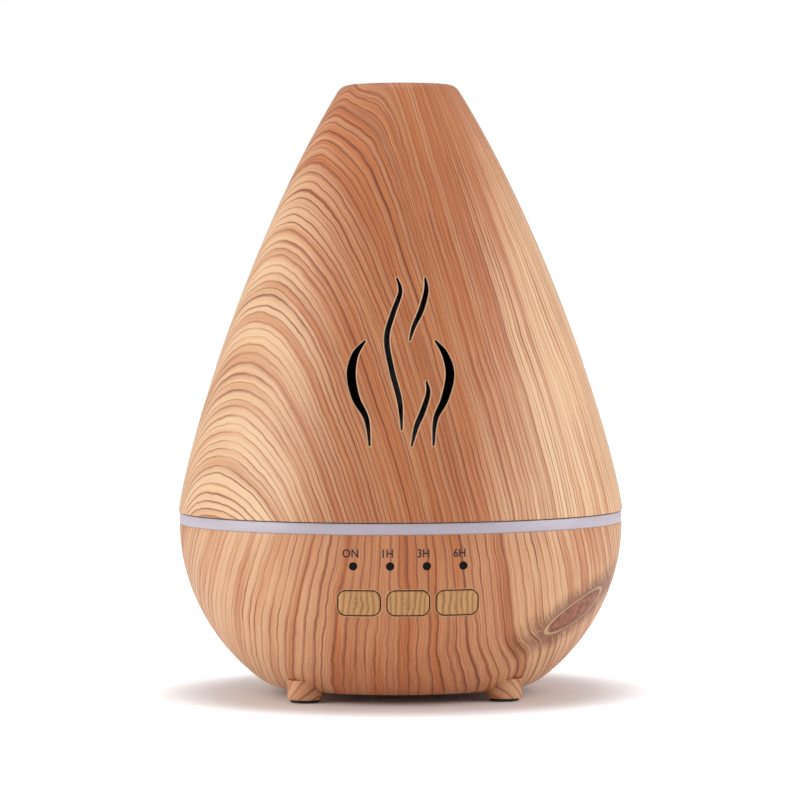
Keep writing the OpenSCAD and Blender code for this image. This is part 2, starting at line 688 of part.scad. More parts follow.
// ---- DC inlet ----
module dc_inlet_body() {
    color(dark) difference() {
        union() {
            translate([-inlet_body[0] / 2, inlet_seat - inlet_body[1], jack_z - inlet_body[2] / 2])
                cube(inlet_body);
            translate([0, inlet_seat - 1, jack_z]) rotate([-90, 0, 0])
                cylinder(h = mouth_y - inlet_seat + 1, r = barrel_r);
        }
        translate([0, mouth_y - bore_depth, jack_z]) rotate([-90, 0, 0]) cylinder(h = 20, r = jack_bore_r);
        translate([0, mouth_y - bore_depth - 1, jack_z]) rotate([-90, 0, 0])
            cylinder(h = 2, r = jack_pin_r + 0.5 + thread_play);
        translate([-1.3, mouth_y - 8.5, jack_z - jack_bore_r - 1.2]) cube([2.6, 5.4, 2]);
    }
}
module dc_inlet_pin() {
    color(steel) translate([0, mouth_y - bore_depth, jack_z]) rotate([-90, 0, 0]) {
        cylinder(h = pin_l, r = jack_pin_r);
        translate([0, 0, -1]) cylinder(h = 1, r = jack_pin_r + 0.5);
    }
}
module dc_inlet_spring() {
    color(steel) translate([-1.1, mouth_y - 8.3, jack_z - jack_bore_r - 1]) cube([2.2, 5, 0.4]);
}

// ---- control panel ----
module control_board() {
    color(board_green) translate([-panel_board[0] / 2, -panel_y, panel_z]) difference() {
        cube(panel_board);
        for (x = [-1, 1]) translate([panel_board[0] / 2 + x * panel_screw_x, 4, panel_screw_z - panel_z])
            rotate([90, 0, 0]) cylinder(h = 8, r = board_screw_r + 0.2);
    }
}
module control_board_screws() {
    color(steel) for (x = [-1, 1])
        translate([x * panel_screw_x, panel_board[1] + 1.3 - panel_y, panel_screw_z]) rotate([90, 0, 0]) screw(board_screw_r, 2.2, 1.3, panel_board[1] + 5);
}
module tact_switches() {
    color(dark) for (x = button_x) difference() {
        translate([x - tact[0] / 2, -panel_y - tact[1], button_z - tact[2] / 2]) cube(tact);
        translate([x, -panel_y - tact[1] + 1.2, button_z]) rotate([90, 0, 0])
            cylinder(h = 3, r = plunger_r + 0.15);
    }
}
module indicator_leds() {
    color("#D9E4E8") for (x = led_x) translate([x, -panel_y, led_z]) rotate([90, 0, 0]) {
        cylinder(h = 0.8, r = 1.9);
        cylinder(h = indicator_l, r = 1.5);
    }
}
module indicator_windows() {
    near = panel_y + indicator_l + 0.3;
    color("#4A4038") intersection() {
        for (x = led_x) translate([x, -near, led_z]) rotate([90, 0, 0]) cylinder(h = 30, r = led_r);
        base_solid(-0.4);
    }
}
module push_button(x) {
    color("#C4904E") translate([x, 0, button_z]) {
        intersection() {
            front_prism(button_w, button_h, button_round, button_back - button_flange, rim_r + 5);
            translate([-x, 0, -button_z]) base_solid(proud);
        }
        front_prism(button_w + 1.4, button_h + 1.2, button_round + 0.5, button_back - button_flange,
            button_back);
    }
}
module plunger(x) {
    color("#8C8C8C") translate([x, button_flange - button_back, button_z]) rotate([-90, 0, 0])
        cylinder(h = plunger_l, r = plunger_r);
}
module light_button() { push_button(button_x[0]); }
module timer_button() { push_button(button_x[1]); }
module mist_button() { push_button(button_x[2]); }
module light_plunger() { plunger(button_x[0]); }
module timer_plunger() { plunger(button_x[1]); }
module mist_plunger() { plunger(button_x[2]); }

// ---- wires ----
module pair(route, d, at) {
    wire(route, d, at);
    wire(route, d, -at);
}
module disc_wires() { color("#C23B32") pair(disc_route, 0.8, [0.7, 0, 0]); }
module fan_wires() { color("#303030") pair(fan_route, 0.8, [0.7, 0, 0]); }
module led_wires() { color("#D8D8D8") wire(led_route, 1.4); }
module control_harness() {
    color("#B0B4B8") for (i = [-1.5 : 1.5]) wire(harness_route, 0.9, [i * 1.3, 0, 0]);
}
module inlet_wires() { color("#8E1F1B") pair(inlet_route, 0.9, [0.6, 0, 0.4]); }

outer_cover();
inner_cover();
splash_guard();
light_ring();
led_board();
ring_leds();
water_tank();
ultrasonic_disc();
disc_seal();
disc_retainer();
retainer_screws();
base_shell();
foot_pads();
bottom_cover();
bottom_cover_screws();
tank_screws();
fan_frame();
fan_stator();
fan_bearing();
fan_rotor();
fan_magnet();
fan_shaft();
fan_screws();
air_guide();
main_board();
main_board_screws();
inductor();
capacitors();
heat_sink();
drive_transistor();
board_connectors();
dc_inlet_body();
dc_inlet_pin();
dc_inlet_spring();
control_board();
control_board_screws();
tact_switches();
indicator_leds();
indicator_windows();
light_button();
timer_button();
mist_button();
light_plunger();
timer_plunger();
mist_plunger();
disc_wires();
fan_wires();
led_wires();
control_harness();
inlet_wires();
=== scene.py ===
# %% [markdown]
# # An ultrasonic oil diffuser with a wood-grain body
# The object is a round bowl that holds the electronics and a water tank, a milky light ring on its rim,
# a milky lid with a chimney, and a tall bell-shaped cover with flame-shaped slots. This lesson builds the
# parts a person sees as smooth new pieces around the fixed engineering model, gives every other part a
# finish, and lights the whole as in a small studio. All lengths are in metres.

# %% Load the engineering model
import math

import bpy
from mathutils import Matrix, Vector


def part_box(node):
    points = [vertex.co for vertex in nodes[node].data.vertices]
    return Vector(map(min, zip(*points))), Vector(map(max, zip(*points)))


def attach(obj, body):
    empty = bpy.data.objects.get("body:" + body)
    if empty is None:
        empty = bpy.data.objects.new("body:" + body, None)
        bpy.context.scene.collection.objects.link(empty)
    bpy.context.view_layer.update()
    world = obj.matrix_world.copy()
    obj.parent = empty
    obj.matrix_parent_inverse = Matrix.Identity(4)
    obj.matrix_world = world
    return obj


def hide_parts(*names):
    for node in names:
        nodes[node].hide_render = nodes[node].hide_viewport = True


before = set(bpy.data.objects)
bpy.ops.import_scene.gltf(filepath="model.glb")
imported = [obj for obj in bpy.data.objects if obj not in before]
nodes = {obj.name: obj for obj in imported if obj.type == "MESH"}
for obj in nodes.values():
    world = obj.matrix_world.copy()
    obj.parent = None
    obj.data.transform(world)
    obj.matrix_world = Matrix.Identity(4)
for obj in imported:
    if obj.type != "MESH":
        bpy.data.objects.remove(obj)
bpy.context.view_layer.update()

MM = 0.001

# %% [markdown]
# ## Reading the sizes
# The real cover meets the bowl at a thin light ring. The new pieces take their outer sizes from the boxes
# of the parts they stand for. Walls, holes, posts and the lean of each curve are written here as numbers,
# so a large change to the engineering model needs a look at them as well.

# %% Sizes from the model
cover_low, cover_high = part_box("outer_cover")
COVER_R = cover_high.x
COVER_Z = cover_low.z
TOP_Z = cover_high.z
ring_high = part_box("light_ring")[1]
RING_R = ring_high.x
RING_TOP = ring_high.z
RIM_R = RING_R + 0.1 * MM
RIM_Z = RING_TOP - 3.6 * MM
CLEAR_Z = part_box("bottom_cover")[0].z
BOTTOM_R = 44 * MM
BASE_WALL = 2.4 * MM
print("cover radius", round(COVER_R, 4), "rim height", round(RIM_Z, 4), "bottom", round(CLEAR_Z, 4))

# %% [markdown]
# ## Working as by hand
# Blender's tools act on what is selected and active. These short helpers choose one object, open it in
# edit mode with everything selected, leave that mode again, and apply modifiers.

# %% Selecting and editing
def only(piece):
    bpy.ops.object.select_all(action="DESELECT")
    piece.select_set(True)
    bpy.context.view_layer.objects.active = piece
    return piece


def edit(piece, pick="VERT"):
    only(piece)
    bpy.ops.object.mode_set(mode="EDIT")
    bpy.ops.mesh.select_mode(type=pick)
    bpy.ops.mesh.select_all(action="SELECT")


def done(piece, name=None):
    bpy.ops.object.mode_set(mode="OBJECT")
    if name:
        piece.name = name
        piece.data.name = name
    return piece


def tidy_normals():
    bpy.ops.mesh.select_all(action="SELECT")
    bpy.ops.mesh.remove_doubles(threshold=1e-6)
    bpy.ops.mesh.normals_make_consistent(inside=False)


def apply_modifier(piece, kind, **settings):
    only(piece)
    modifier = piece.modifiers.new("finish", kind)
    for key, value in settings.items():
        setattr(modifier, key, value)
    bpy.ops.object.modifier_apply(modifier=modifier.name)
    return piece


def round_edges(piece, width, segments=3, angle=30):
    return apply_modifier(piece, "BEVEL", width=width, segments=segments, limit_method="ANGLE",
                          angle_limit=math.radians(angle), harden_normals=False)


def smooth(piece, angle=35):
    only(piece)
    bpy.ops.object.shade_smooth_by_angle(angle=math.radians(angle))
    return piece


# %% [markdown]
# ## Turning a shape on a lathe
# The cover, bowl, ring and lid are all round, so each is a closed outline turned once about the upright
# axis. A ring of vertices is added, its vertices are set to the outline, and the Spin tool sweeps it
# round. The last step is merged with the first, so the shell has no seam.

# %% The lathe
def bezier(points, count):
    result = []
    for step in range(count + 1):
        t = step / count
        s = 1 - t
        weights = (s ** 3, 3 * s * s * t, 3 * s * t * t, t ** 3)
        result.append(tuple(sum(w * p[axis] for w, p in zip(weights, points)) for axis in (0, 1)))
    return result


def arc(centre, radius, start, end, count):
    result = []
    for step in range(count + 1):
        angle = math.radians(start + (end - start) * step / count)
        result.append((centre[0] + radius * math.cos(angle), centre[1] + radius * math.sin(angle)))
    return result


def lathe(name, outline, steps=192):
    bpy.ops.object.select_all(action="DESELECT")
    bpy.ops.mesh.primitive_circle_add(vertices=len(outline), radius=1, fill_type="NOTHING")
    piece = bpy.context.object
    for vertex, (radius, height) in zip(piece.data.vertices, outline):
        vertex.co = (radius, 0, height)
    edit(piece)
    bpy.ops.mesh.spin(steps=steps, angle=2 * math.pi, center=(0, 0, 0), axis=(0, 0, 1))
    tidy_normals()
    done(piece, name)
    print(name, "turned from", len(outline), "points:", len(piece.data.polygons), "faces")
    return piece


def radius_at(curve, height):
    for (r0, z0), (r1, z1) in zip(curve, curve[1:]):
        if min(z0, z1) <= height <= max(z0, z1) and z0 != z1:
            return r0 + (r1 - r0) * (height - z0) / (z1 - z0)
    return curve[0][0] if height < curve[0][1] else curve[-1][0]


# %% [markdown]
# ## Cutters that follow a curved wall
# A slot or window in a curved moulding has a small chamfer all round its mouth. A straight cutter would
# make that chamfer uneven, so this cutter is a stack of outlines, each set at its own depth under the
# real surface and a little wider at the mouth. The rings are joined with the Bridge tool, the ends are
# filled, and a Boolean takes the cutter's shape out of the wall.

# %% The wall-following cutter
def front_y(curve, x, z):
    return -math.sqrt(max(radius_at(curve, z) ** 2 - x * x, 1e-9))


def stacked(name, outline, curve, levels):
    """levels are (grow, depth under the surface) from the outside in; outline(grow) gives (x, z) points."""
    bpy.ops.object.select_all(action="DESELECT")
    count = len(outline(0))
    bpy.ops.mesh.primitive_circle_add(vertices=count, radius=1, fill_type="NOTHING")
    piece = bpy.context.object
    edit(piece)
    for _ in levels[1:]:
        bpy.ops.mesh.primitive_circle_add(vertices=count, radius=1, fill_type="NOTHING")
    bpy.ops.object.mode_set(mode="OBJECT")
    for level, (grow, depth) in enumerate(levels):
        for index, (x, z) in enumerate(outline(grow)):
            place = (x, front_y(curve, x, z) + depth, z)
            piece.data.vertices[level * count + index].co = place
    edit(piece, "EDGE")
    bpy.ops.mesh.bridge_edge_loops(type="SINGLE")
    bpy.ops.mesh.select_all(action="SELECT")
    bpy.ops.mesh.fill_holes(sides=0)
    tidy_normals()
    return done(piece, name)


def boolean(piece, tool, operation="DIFFERENCE"):
    apply_modifier(piece, "BOOLEAN", operation=operation, solver="EXACT", object=tool,
                   material_mode="TRANSFER")
    bpy.data.objects.remove(tool)
    return piece


def turn(piece, degrees):
    piece.data.transform(Matrix.Rotation(math.radians(degrees), 4, "Z"))
    return piece

# %% [markdown]
# ## The camera
# A long lens from 1.3 m shows the object almost without perspective, a little from above the buttons'
# height. It stands a hair to the left of straight ahead, because the flames face it and the control
# panel doesn't quite.

# %% Camera
CAMERA_AWAY = 1.3
CAMERA_UP = 0.1347
CAMERA_TURN = math.radians(1.9)
CAMERA_DOWN = 1.59
CAMERA_ROLL = 0.3
CAMERA_LENS = 172.8
camera_data = bpy.data.cameras.new("studio_camera")
camera_data.sensor_width = 36
camera_data.lens = CAMERA_LENS
camera_data.clip_end = 20
camera = bpy.data.objects.new("studio_camera", camera_data)
bpy.context.scene.collection.objects.link(camera)
camera.location = (-CAMERA_AWAY * math.sin(CAMERA_TURN), -CAMERA_AWAY * math.cos(CAMERA_TURN), CAMERA_UP)
look = Matrix.Rotation(-CAMERA_TURN, 4, "Z") @ Matrix.Rotation(math.radians(90 - CAMERA_DOWN), 4, "X")
camera.rotation_euler = (look @ Matrix.Rotation(math.radians(-CAMERA_ROLL), 4, "Z")).to_euler()
bpy.context.scene.camera = camera
print("camera lens", camera_data.lens, "mm at", [round(v, 3) for v in camera.location])

# %% [markdown]
# ## The outer cover
# The cover is a thin injection-moulded bell with a printed wood film outside. Its side is one long
# curve that leans in more and more towards the top, where a rounded edge meets a flat crown with a
# shallow dish and the mist outlet. A collar inside slips over the lid's chimney.

# %% Cover outline
WALL = 2.6 * MM
TOP_WALL = 3 * MM
SHOULDER_R = 20.5 * MM
TOP_ROUND = 4.5 * MM
OUTLET_R = 6.5 * MM
DISH_R = 12.5 * MM
DISH_DEPTH = 1.2 * MM
COLLAR_R = 10.4 * MM
COLLAR_WALL = 1.6 * MM
COLLAR_H = 13 * MM
side_h = TOP_Z - COVER_Z
low_handle = (-1.8 * MM, 0.131 * side_h)
high_handle = (0.56 * (COVER_R - SHOULDER_R), -0.345 * side_h)
lean = math.degrees(math.atan2(high_handle[0], -high_handle[1]))
shoulder_z = TOP_Z - TOP_ROUND * (1 - math.sin(math.radians(lean)))
round_x = SHOULDER_R - TOP_ROUND * math.cos(math.radians(lean))
cover_curve = bezier([(COVER_R, COVER_Z), (COVER_R + low_handle[0], COVER_Z + low_handle[1]),
                      (SHOULDER_R + high_handle[0], shoulder_z + high_handle[1]),
                      (SHOULDER_R, shoulder_z)], 72)
inner_curve = [(r - WALL, z) for r, z in cover_curve if z < TOP_Z - TOP_WALL - 4 * MM]
under_top = TOP_Z - TOP_WALL
top_arc = arc((round_x, TOP_Z - TOP_ROUND), TOP_ROUND, lean, 90, 10)
crown = [(DISH_R, TOP_Z), (DISH_R - 1.5 * MM, TOP_Z - 0.5 * MM), (OUTLET_R, TOP_Z - DISH_DEPTH)]
collar = [(OUTLET_R, under_top), (COLLAR_R, under_top), (COLLAR_R, under_top - COLLAR_H),
          (COLLAR_R + COLLAR_WALL, under_top - COLLAR_H), (COLLAR_R + COLLAR_WALL, under_top),
          (inner_curve[-1][0] - 2.5 * MM, under_top)]
cover = lathe("wood_cover", cover_curve + top_arc[1:] + crown + collar + inner_curve[::-1], 256)
round_edges(cover, 0.35 * MM, 3, 40)
print("cover leans", round(lean, 1), "degrees at the shoulder")

# %% [markdown]
# ## The flame slots
# Five brush strokes are cut through the front of the cover. Each stroke is a centre line with a width
# at every point, as a sign cutter would draw it. A smooth curve runs through the points, and its two
# sides and rounded ends make the outline that the cutter follows.

# %% Flame strokes: [x, height over the middle, width] in millimetres
FLAME_Z = 112 * MM
FLAME_TURN = -1.9
STROKES = {
    "long": [[-0.8, 27.6, 0.6], [0.3, 23.2, 1.4], [-2.2, 16, 1.7], [-4.2, 8, 1.8], [-2.6, -2, 1.8],
             [-0.1, -12, 1.7], [0.5, -21, 0.6]],
    "upper": [[8.4, 27.6, 0.6], [8.7, 23.4, 1.6], [7, 17.2, 1.8], [4.6, 12, 1.4], [3.3, 7.6, 0.6]],
    "left": [[-11.3, 7.2, 0.7], [-14.4, 3, 2.2], [-15.7, -3.4, 3], [-14.2, -11, 2.6],
             [-10.8, -17.6, 1.7], [-9.8, -26, 0.7]],
    "right": [[11.6, 7.2, 0.7], [14.6, 3, 2.1], [16.2, -3.6, 2.9], [14.4, -11.4, 2.5],
              [11.4, -17.8, 1.6], [10.7, -26, 0.7]],
    "lower": [[8.6, -5.8, 0.6], [9.1, -9.4, 1.5], [7.4, -15, 1.8], [5.2, -20.2, 1.6], [3.7, -26.2, 0.6]],
}


def through(points, steps):
    """Catmull-Rom: a smooth curve that passes through every point."""
    result = []
    for i in range(len(points) - 1):
        a = points[max(i - 1, 0)]
        b = points[i]
        c = points[i + 1]
        d = points[min(i + 2, len(points) - 1)]
        for k in range(steps):
            t = k / steps
            result.append([0.5 * (2 * q + (r - p) * t + (2 * p - 5 * q + 4 * r - s) * t * t
                                  + (3 * q - p - 3 * r + s) * t ** 3) for p, q, r, s in zip(a, b, c, d)])
    return result + [list(points[-1])]


def stroke_outline(points, grow):
    line = through(points, 6)
    left = []
    right = []
    ends = []
    for i, (x, z, width) in enumerate(line):
        x0, z0 = line[max(i - 1, 0)][:2]
        x1, z1 = line[min(i + 1, len(line) - 1)][:2]
        length = math.hypot(x1 - x0, z1 - z0)
        along = ((x1 - x0) / length, (z1 - z0) / length)
        half = width / 2 + grow / MM
        left.append((x - along[1] * half, z + along[0] * half))
        right.append((x + along[1] * half, z - along[0] * half))
        ends.append((x, z, along, half))
    tips = []
    for (x, z, along, half), sign in ((ends[-1], 1), (ends[0], -1)):
        turned = math.atan2(along[0], -along[1])
        fan = []
        for step in range(1, 6):
            angle = turned + (0 if sign > 0 else math.pi) - math.pi * step / 6
            fan.append((x + half * math.cos(angle), z + half * math.sin(angle)))
        tips.append(fan)
    outline = left + tips[0] + right[::-1] + tips[1]
    return [(x * MM, FLAME_Z + z * MM) for x, z in outline]


FLAME_LEVELS = [(0.7 * MM, -0.35 * MM), (0, 0.35 * MM), (0, 12 * MM)]
for stroke_name, points in STROKES.items():
    cutter = stacked("cutter_" + stroke_name, lambda grow: stroke_outline(points, grow), cover_curve,
                     FLAME_LEVELS)
    boolean(cover, turn(cutter, FLAME_TURN))
smooth(cover, 30)
print("cover with", len(STROKES), "slots:", len(cover.data.polygons), "faces")

# %% [markdown]
# ## The bowl
# The lower body is one moulding: a bowl whose side bulges to the rim, four short feet, windows for three
# buttons and four indicator lights, and a recess for the power inlet at the back. The windows are cut
# with the same wall-following cutter. The feet and the posts for screws are joined to the shell.

# %% Bowl outline
rim_handle = 0.633 * (RIM_Z - CLEAR_Z)
base_points = [(BOTTOM_R, CLEAR_Z), (BOTTOM_R + 3.5 * MM, CLEAR_Z), (RIM_R, RIM_Z - rim_handle),
               (RIM_R, RIM_Z)]
base_curve = bezier(base_points, 64)
floor_z = CLEAR_Z + BASE_WALL
inside_curve = bezier([(base_points[0][0] - BASE_WALL, floor_z), (base_points[1][0] - BASE_WALL, floor_z),
                       (RIM_R - BASE_WALL, RIM_Z - rim_handle), (RIM_R - BASE_WALL, RIM_Z)], 48)
HUB_GAP = 8 * MM
bowl_outline = [(HUB_GAP, CLEAR_Z)] + base_curve + inside_curve[::-1] + [(HUB_GAP, floor_z)]
bowl = lathe("wood_base", bowl_outline, 256)
round_edges(bowl, 0.3 * MM, 2, 50)


# %% [markdown]
# ## Feet and posts
# Each foot is a short round stud, a cylinder with its lower edge bevelled. A hole runs up through foot and
# post for the screw that holds the tank. The posts that carry the boards are plain round pillars.

# %% Feet, posts and recess
def stud(name, x, y, low, high, radius, chamfer=0.0, sides=64):
    bpy.ops.object.select_all(action="DESELECT")
    bpy.ops.mesh.primitive_cylinder_add(vertices=sides, radius=radius, depth=high - low,
                                        location=(x, y, (low + high) / 2))
    piece = bpy.context.object
    bpy.ops.object.transform_apply(location=True, rotation=True, scale=True)
    if chamfer:
        edit(piece, "EDGE")
        bpy.ops.mesh.select_all(action="DESELECT")
        bpy.ops.object.mode_set(mode="OBJECT")
        for edge in piece.data.edges:
            edge.select = all(abs(piece.data.vertices[v].co.z - low) < 1e-6 for v in edge.vertices)
        bpy.ops.object.mode_set(mode="EDIT")
        bpy.ops.mesh.bevel(offset=chamfer, segments=3, affect="EDGES")
    return done(piece, name) if chamfer else piece


FOOT_R = 5.8 * MM
FOOT_CIRCLE = 46.7 * MM
PAD_H = 0.8 * MM
POST_TOP = 22.1 * MM
POST_R = 4 * MM
HEAD_HOLE_R = 3.1 * MM
HEAD_HOLE_H = 4 * MM
SCREW_HOLE_R = 1.7 * MM
foot_places = [(FOOT_CIRCLE * math.cos(math.radians(a)), FOOT_CIRCLE * math.sin(math.radians(a)))
               for a in (45, 135, 225, 315)]
for x, y in foot_places:
    boolean(bowl, stud("foot", x, y, PAD_H, floor_z + 2 * MM, FOOT_R, 0.6 * MM), "UNION")
for x, y in foot_places:
    boolean(bowl, stud("post", x, y, floor_z, POST_TOP, POST_R, 0, 32), "UNION")
    boolean(bowl, stud("head_hole", x, y, 0, CLEAR_Z + HEAD_HOLE_H, HEAD_HOLE_R, 0, 32))
    boolean(bowl, stud("screw_hole", x, y, 0, POST_TOP + 1 * MM, SCREW_HOLE_R, 0, 24))

FAN_HALF = 20 * MM
FAN_OPENING_R = 28 * MM
GRILLE_R = 31.25 * MM
GRILLE_DEPTH = 1.2 * MM
FAN_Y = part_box("fan_frame")[0].y + FAN_HALF
boolean(bowl, stud("fan_opening", 0, FAN_Y, 0, floor_z + 2 * MM, FAN_OPENING_R, 0, 96))
boolean(bowl, stud("grille_recess", 0, FAN_Y, 0, CLEAR_Z + GRILLE_DEPTH, GRILLE_R, 0, 96))
print("bowl with feet:", len(bowl.data.polygons), "faces, fan opening at y", round(FAN_Y, 4))


# %% [markdown]
# ## Button windows and indicator holes
# Three rounded windows hold the buttons, with a fine gap all round and a small chamfer at the mouth.
# Above them sit four round holes for the indicator lights.

# %% Windows
def rounded_rect(cx, cz, width, height, corner, steps=8):
    """Round corners, and points every millimetre or so along the straight sides, so they can bend."""
    points = []
    for sx, sz, start in ((1, 1, 0), (-1, 1, 90), (-1, -1, 180), (1, -1, 270)):
        for step in range(steps + 1):
            angle = math.radians(start + 90 * step / steps)
            points.append((cx + sx * (width / 2 - corner) + corner * math.cos(angle),
                           cz + sz * (height / 2 - corner) + corner * math.sin(angle)))
        last = points[-1]
        if start in (0, 180):
            far = (cx - sx * (width / 2 - corner), last[1])
            extra = 8
        else:
            far = (last[0], cz - sz * (height / 2 - corner))
            extra = 3
        for k in range(1, extra):
            points.append(tuple(a + (b - a) * k / extra for a, b in zip(last, far)))
    return points


def ring_of(cx, cz, radius, count=32):
    angles = [2 * math.pi * k / count for k in range(count)]
    return [(cx + radius * math.cos(angle), cz + radius * math.sin(angle)) for angle in angles]


BUTTON_NAMES = ("light_button", "timer_button", "mist_button")
BUTTON_W = 13.4 * MM
BUTTON_H = 8 * MM
BUTTON_ROUND = 2.6 * MM
BUTTON_GAP = 0.35 * MM
THROUGH = 9 * MM
WINDOW_LEVELS = [(0.6 * MM, -3 * MM), (0.6 * MM, -0.35 * MM), (0, 0.25 * MM), (0, THROUGH)]
INDICATOR_R = 1.35 * MM
INDICATOR_LEVELS = [(0.4 * MM, -0.3 * MM), (0, 0.12 * MM), (0, THROUGH)]


def window_outline(x, grow):
    gap = BUTTON_GAP + grow
    return rounded_rect(x, BUTTON_Z, BUTTON_W + 2 * gap, BUTTON_H + 2 * gap, BUTTON_ROUND + gap)


button_x = []
for button_name in BUTTON_NAMES:
    low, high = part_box(button_name)
    button_x.append((low.x + high.x) / 2)
BUTTON_Z = (low.z + high.z) / 2
for x in button_x:
    boolean(bowl, stacked("window", lambda grow: window_outline(x, grow), base_curve, WINDOW_LEVELS))
low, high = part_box("indicator_windows")
LED_Z = (low.z + high.z) / 2
LED_PITCH = 11.77 * MM
led_x = [(i - 1.5) * LED_PITCH for i in range(4)]
for x in led_x:
    hole = stacked("indicator_hole", lambda grow: ring_of(x, LED_Z, INDICATOR_R + grow), base_curve,
                   INDICATOR_LEVELS)
    boolean(bowl, hole)
print("buttons at x", [round(x, 4) for x in button_x], "z", round(BUTTON_Z, 4))
print("lights at z", round(LED_Z, 4))

# %% [markdown]
# ## The power inlet's recess
# At the back the wall is thickened inside, and a round recess lets the plug reach the socket.

# %% Inlet recess
inlet_low, inlet_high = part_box("dc_inlet_body")
JACK_Z = (inlet_low.z + inlet_high.z) / 2
INLET_PROUD = 3.1 * MM
INLET_SEAT = inlet_high.y - INLET_PROUD
SEAT_END = 67.5 * MM
SEAT_W = 14 * MM
SEAT_H = 11 * MM
BARREL_HOLE_R = 4.15 * MM
PLUG_RECESS_R = 6.2 * MM
RECESS_FLOOR = 2.5 * MM
PAST_WALL = 20 * MM
bpy.ops.object.select_all(action="DESELECT")
bpy.ops.mesh.primitive_cube_add(size=1, location=(0, (INLET_SEAT + SEAT_END) / 2, JACK_Z))
seat = bpy.context.object
seat.scale = (SEAT_W, SEAT_END - INLET_SEAT, SEAT_H)
bpy.ops.object.transform_apply(location=True, rotation=True, scale=True)
round_edges(seat, 0.4 * MM, 2)
boolean(bowl, seat, "UNION")


def back_bore(radius, near, far):
    bpy.ops.object.select_all(action="DESELECT")
    middle = (0, (near + far) / 2, JACK_Z)
    bpy.ops.mesh.primitive_cylinder_add(vertices=64, radius=radius, depth=far - near, location=middle,
                                        rotation=(math.pi / 2, 0, 0))
    piece = bpy.context.object
    bpy.ops.object.transform_apply(location=True, rotation=True, scale=True)
    return piece


boolean(bowl, back_bore(BARREL_HOLE_R, INLET_SEAT - 3 * MM, INLET_SEAT + PAST_WALL))
boolean(bowl, back_bore(PLUG_RECESS_R, INLET_SEAT + RECESS_FLOOR, INLET_SEAT + PAST_WALL))
smooth(bowl, 30)
print("bowl finished:", len(bowl.data.polygons), "faces; inlet seat y", round(INLET_SEAT, 4))

# %% [markdown]
# ## The light ring
# A translucent band between cover and bowl spreads the light of small LEDs. It is turned on the lathe
# with its web and the lip that centres it in the bowl, and its outer corners are softened.

# %% Light ring
BAND = 2.5 * MM
WEB_H = 1.6 * MM
LIP_OUT = RIM_R - BASE_WALL - 0.3 * MM
LIP_IN = LIP_OUT - 1.6 * MM
LIP_Z = RIM_Z - 3 * MM
WEB_IN = RING_R - 8.7 * MM
ring = lathe("milky_light_ring", [
    (RING_R, RIM_Z), (RING_R, RING_TOP), (RING_R - BAND, RING_TOP), (RING_R - BAND, RIM_Z + WEB_H),
    (WEB_IN, RIM_Z + WEB_H), (WEB_IN, RIM_Z), (LIP_IN, RIM_Z), (LIP_IN, LIP_Z), (LIP_OUT, LIP_Z),
    (LIP_OUT, RIM_Z)], 256)
round_edges(ring, 0.25 * MM, 3)
smooth(ring, 40)

# %% [markdown]
# ## The lid with its chimney
# The lid closes the tank and leads the mist up a tall chimney to the outlet. It is a thin shell that
# rises from a flange in one dome and runs on into the tapering chimney.

# %% Lid
lid_low, lid_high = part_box("inner_cover")
LID_WALL = 1.6 * MM
LID_Z = RING_TOP + 0.2 * MM
DOME_R = RIM_R - 10.9 * MM
CROWN_Z = LID_Z + 35 * MM
PLUG_R = lid_high.x - 5.6 * MM
FLANGE_R = lid_high.x
CHIMNEY_FOOT = 15 * MM
CHIMNEY_END = 9 * MM
dome = bezier([(DOME_R, LID_Z + LID_WALL), (DOME_R, CROWN_Z - 12 * MM), (40 * MM, CROWN_Z - 4 * MM),
               (CHIMNEY_FOOT, CROWN_Z)], 40)
sweep = arc((CHIMNEY_FOOT + 2.4 * MM, CROWN_Z + 2.6 * MM), 2.6 * MM, 262, 184, 6)
inner_dome = [(r - LID_WALL, z - LID_WALL) for r, z in dome[1:-1]]
flange = [(PLUG_R, lid_low.z), (PLUG_R, LID_Z), (FLANGE_R, LID_Z), (FLANGE_R, LID_Z + LID_WALL)]
chimney = [(CHIMNEY_END, lid_high.z), (CHIMNEY_END - LID_WALL, lid_high.z),
           (CHIMNEY_FOOT - LID_WALL, CROWN_Z - LID_WALL)]
plug = [(PLUG_R - LID_WALL, LID_Z + LID_WALL), (PLUG_R - LID_WALL, lid_low.z)]
lid = lathe("milky_lid", flange + dome[:-2] + sweep + chimney + inner_dome[::-1] + plug, 160)
round_edges(lid, 0.3 * MM, 2, 40)
smooth(lid, 40)

# %% [markdown]
# ## Push buttons
# Each button is a rounded block with a soft edge, and its face follows the bowl, standing slightly
# proud. A fine grid is pulled into a rounded rectangle and laid on the curved side; its rim is rounded
# over, extruded back into the wall and closed. The icons, a lamp with rays, a clock and two drops, are
# raised out of the same grid by a fraction of a millimetre, as they would be in the mould. A flange behind
# the wall keeps the button from falling out.

# %% Icons as lines, in millimetres from the button's middle
def circle_path(cx, cz, radius, start=0, end=360, count=24):
    return [(cx + radius * math.cos(math.radians(start + (end - start) * k / count)),
             cz + radius * math.sin(math.radians(start + (end - start) * k / count)))
            for k in range(count + 1)]


def drop_path(cx, cz, size, tilt):
    points = []
    for k in range(25):
        t = 2 * math.pi * k / 24
        across = size * 0.8 * math.sin(t) * (1 - math.cos(t)) / 2
        up = size * math.cos(t)
        points.append((cx + across * math.cos(tilt) - up * math.sin(tilt),
                       cz + across * math.sin(tilt) + up * math.cos(tilt)))
    return points


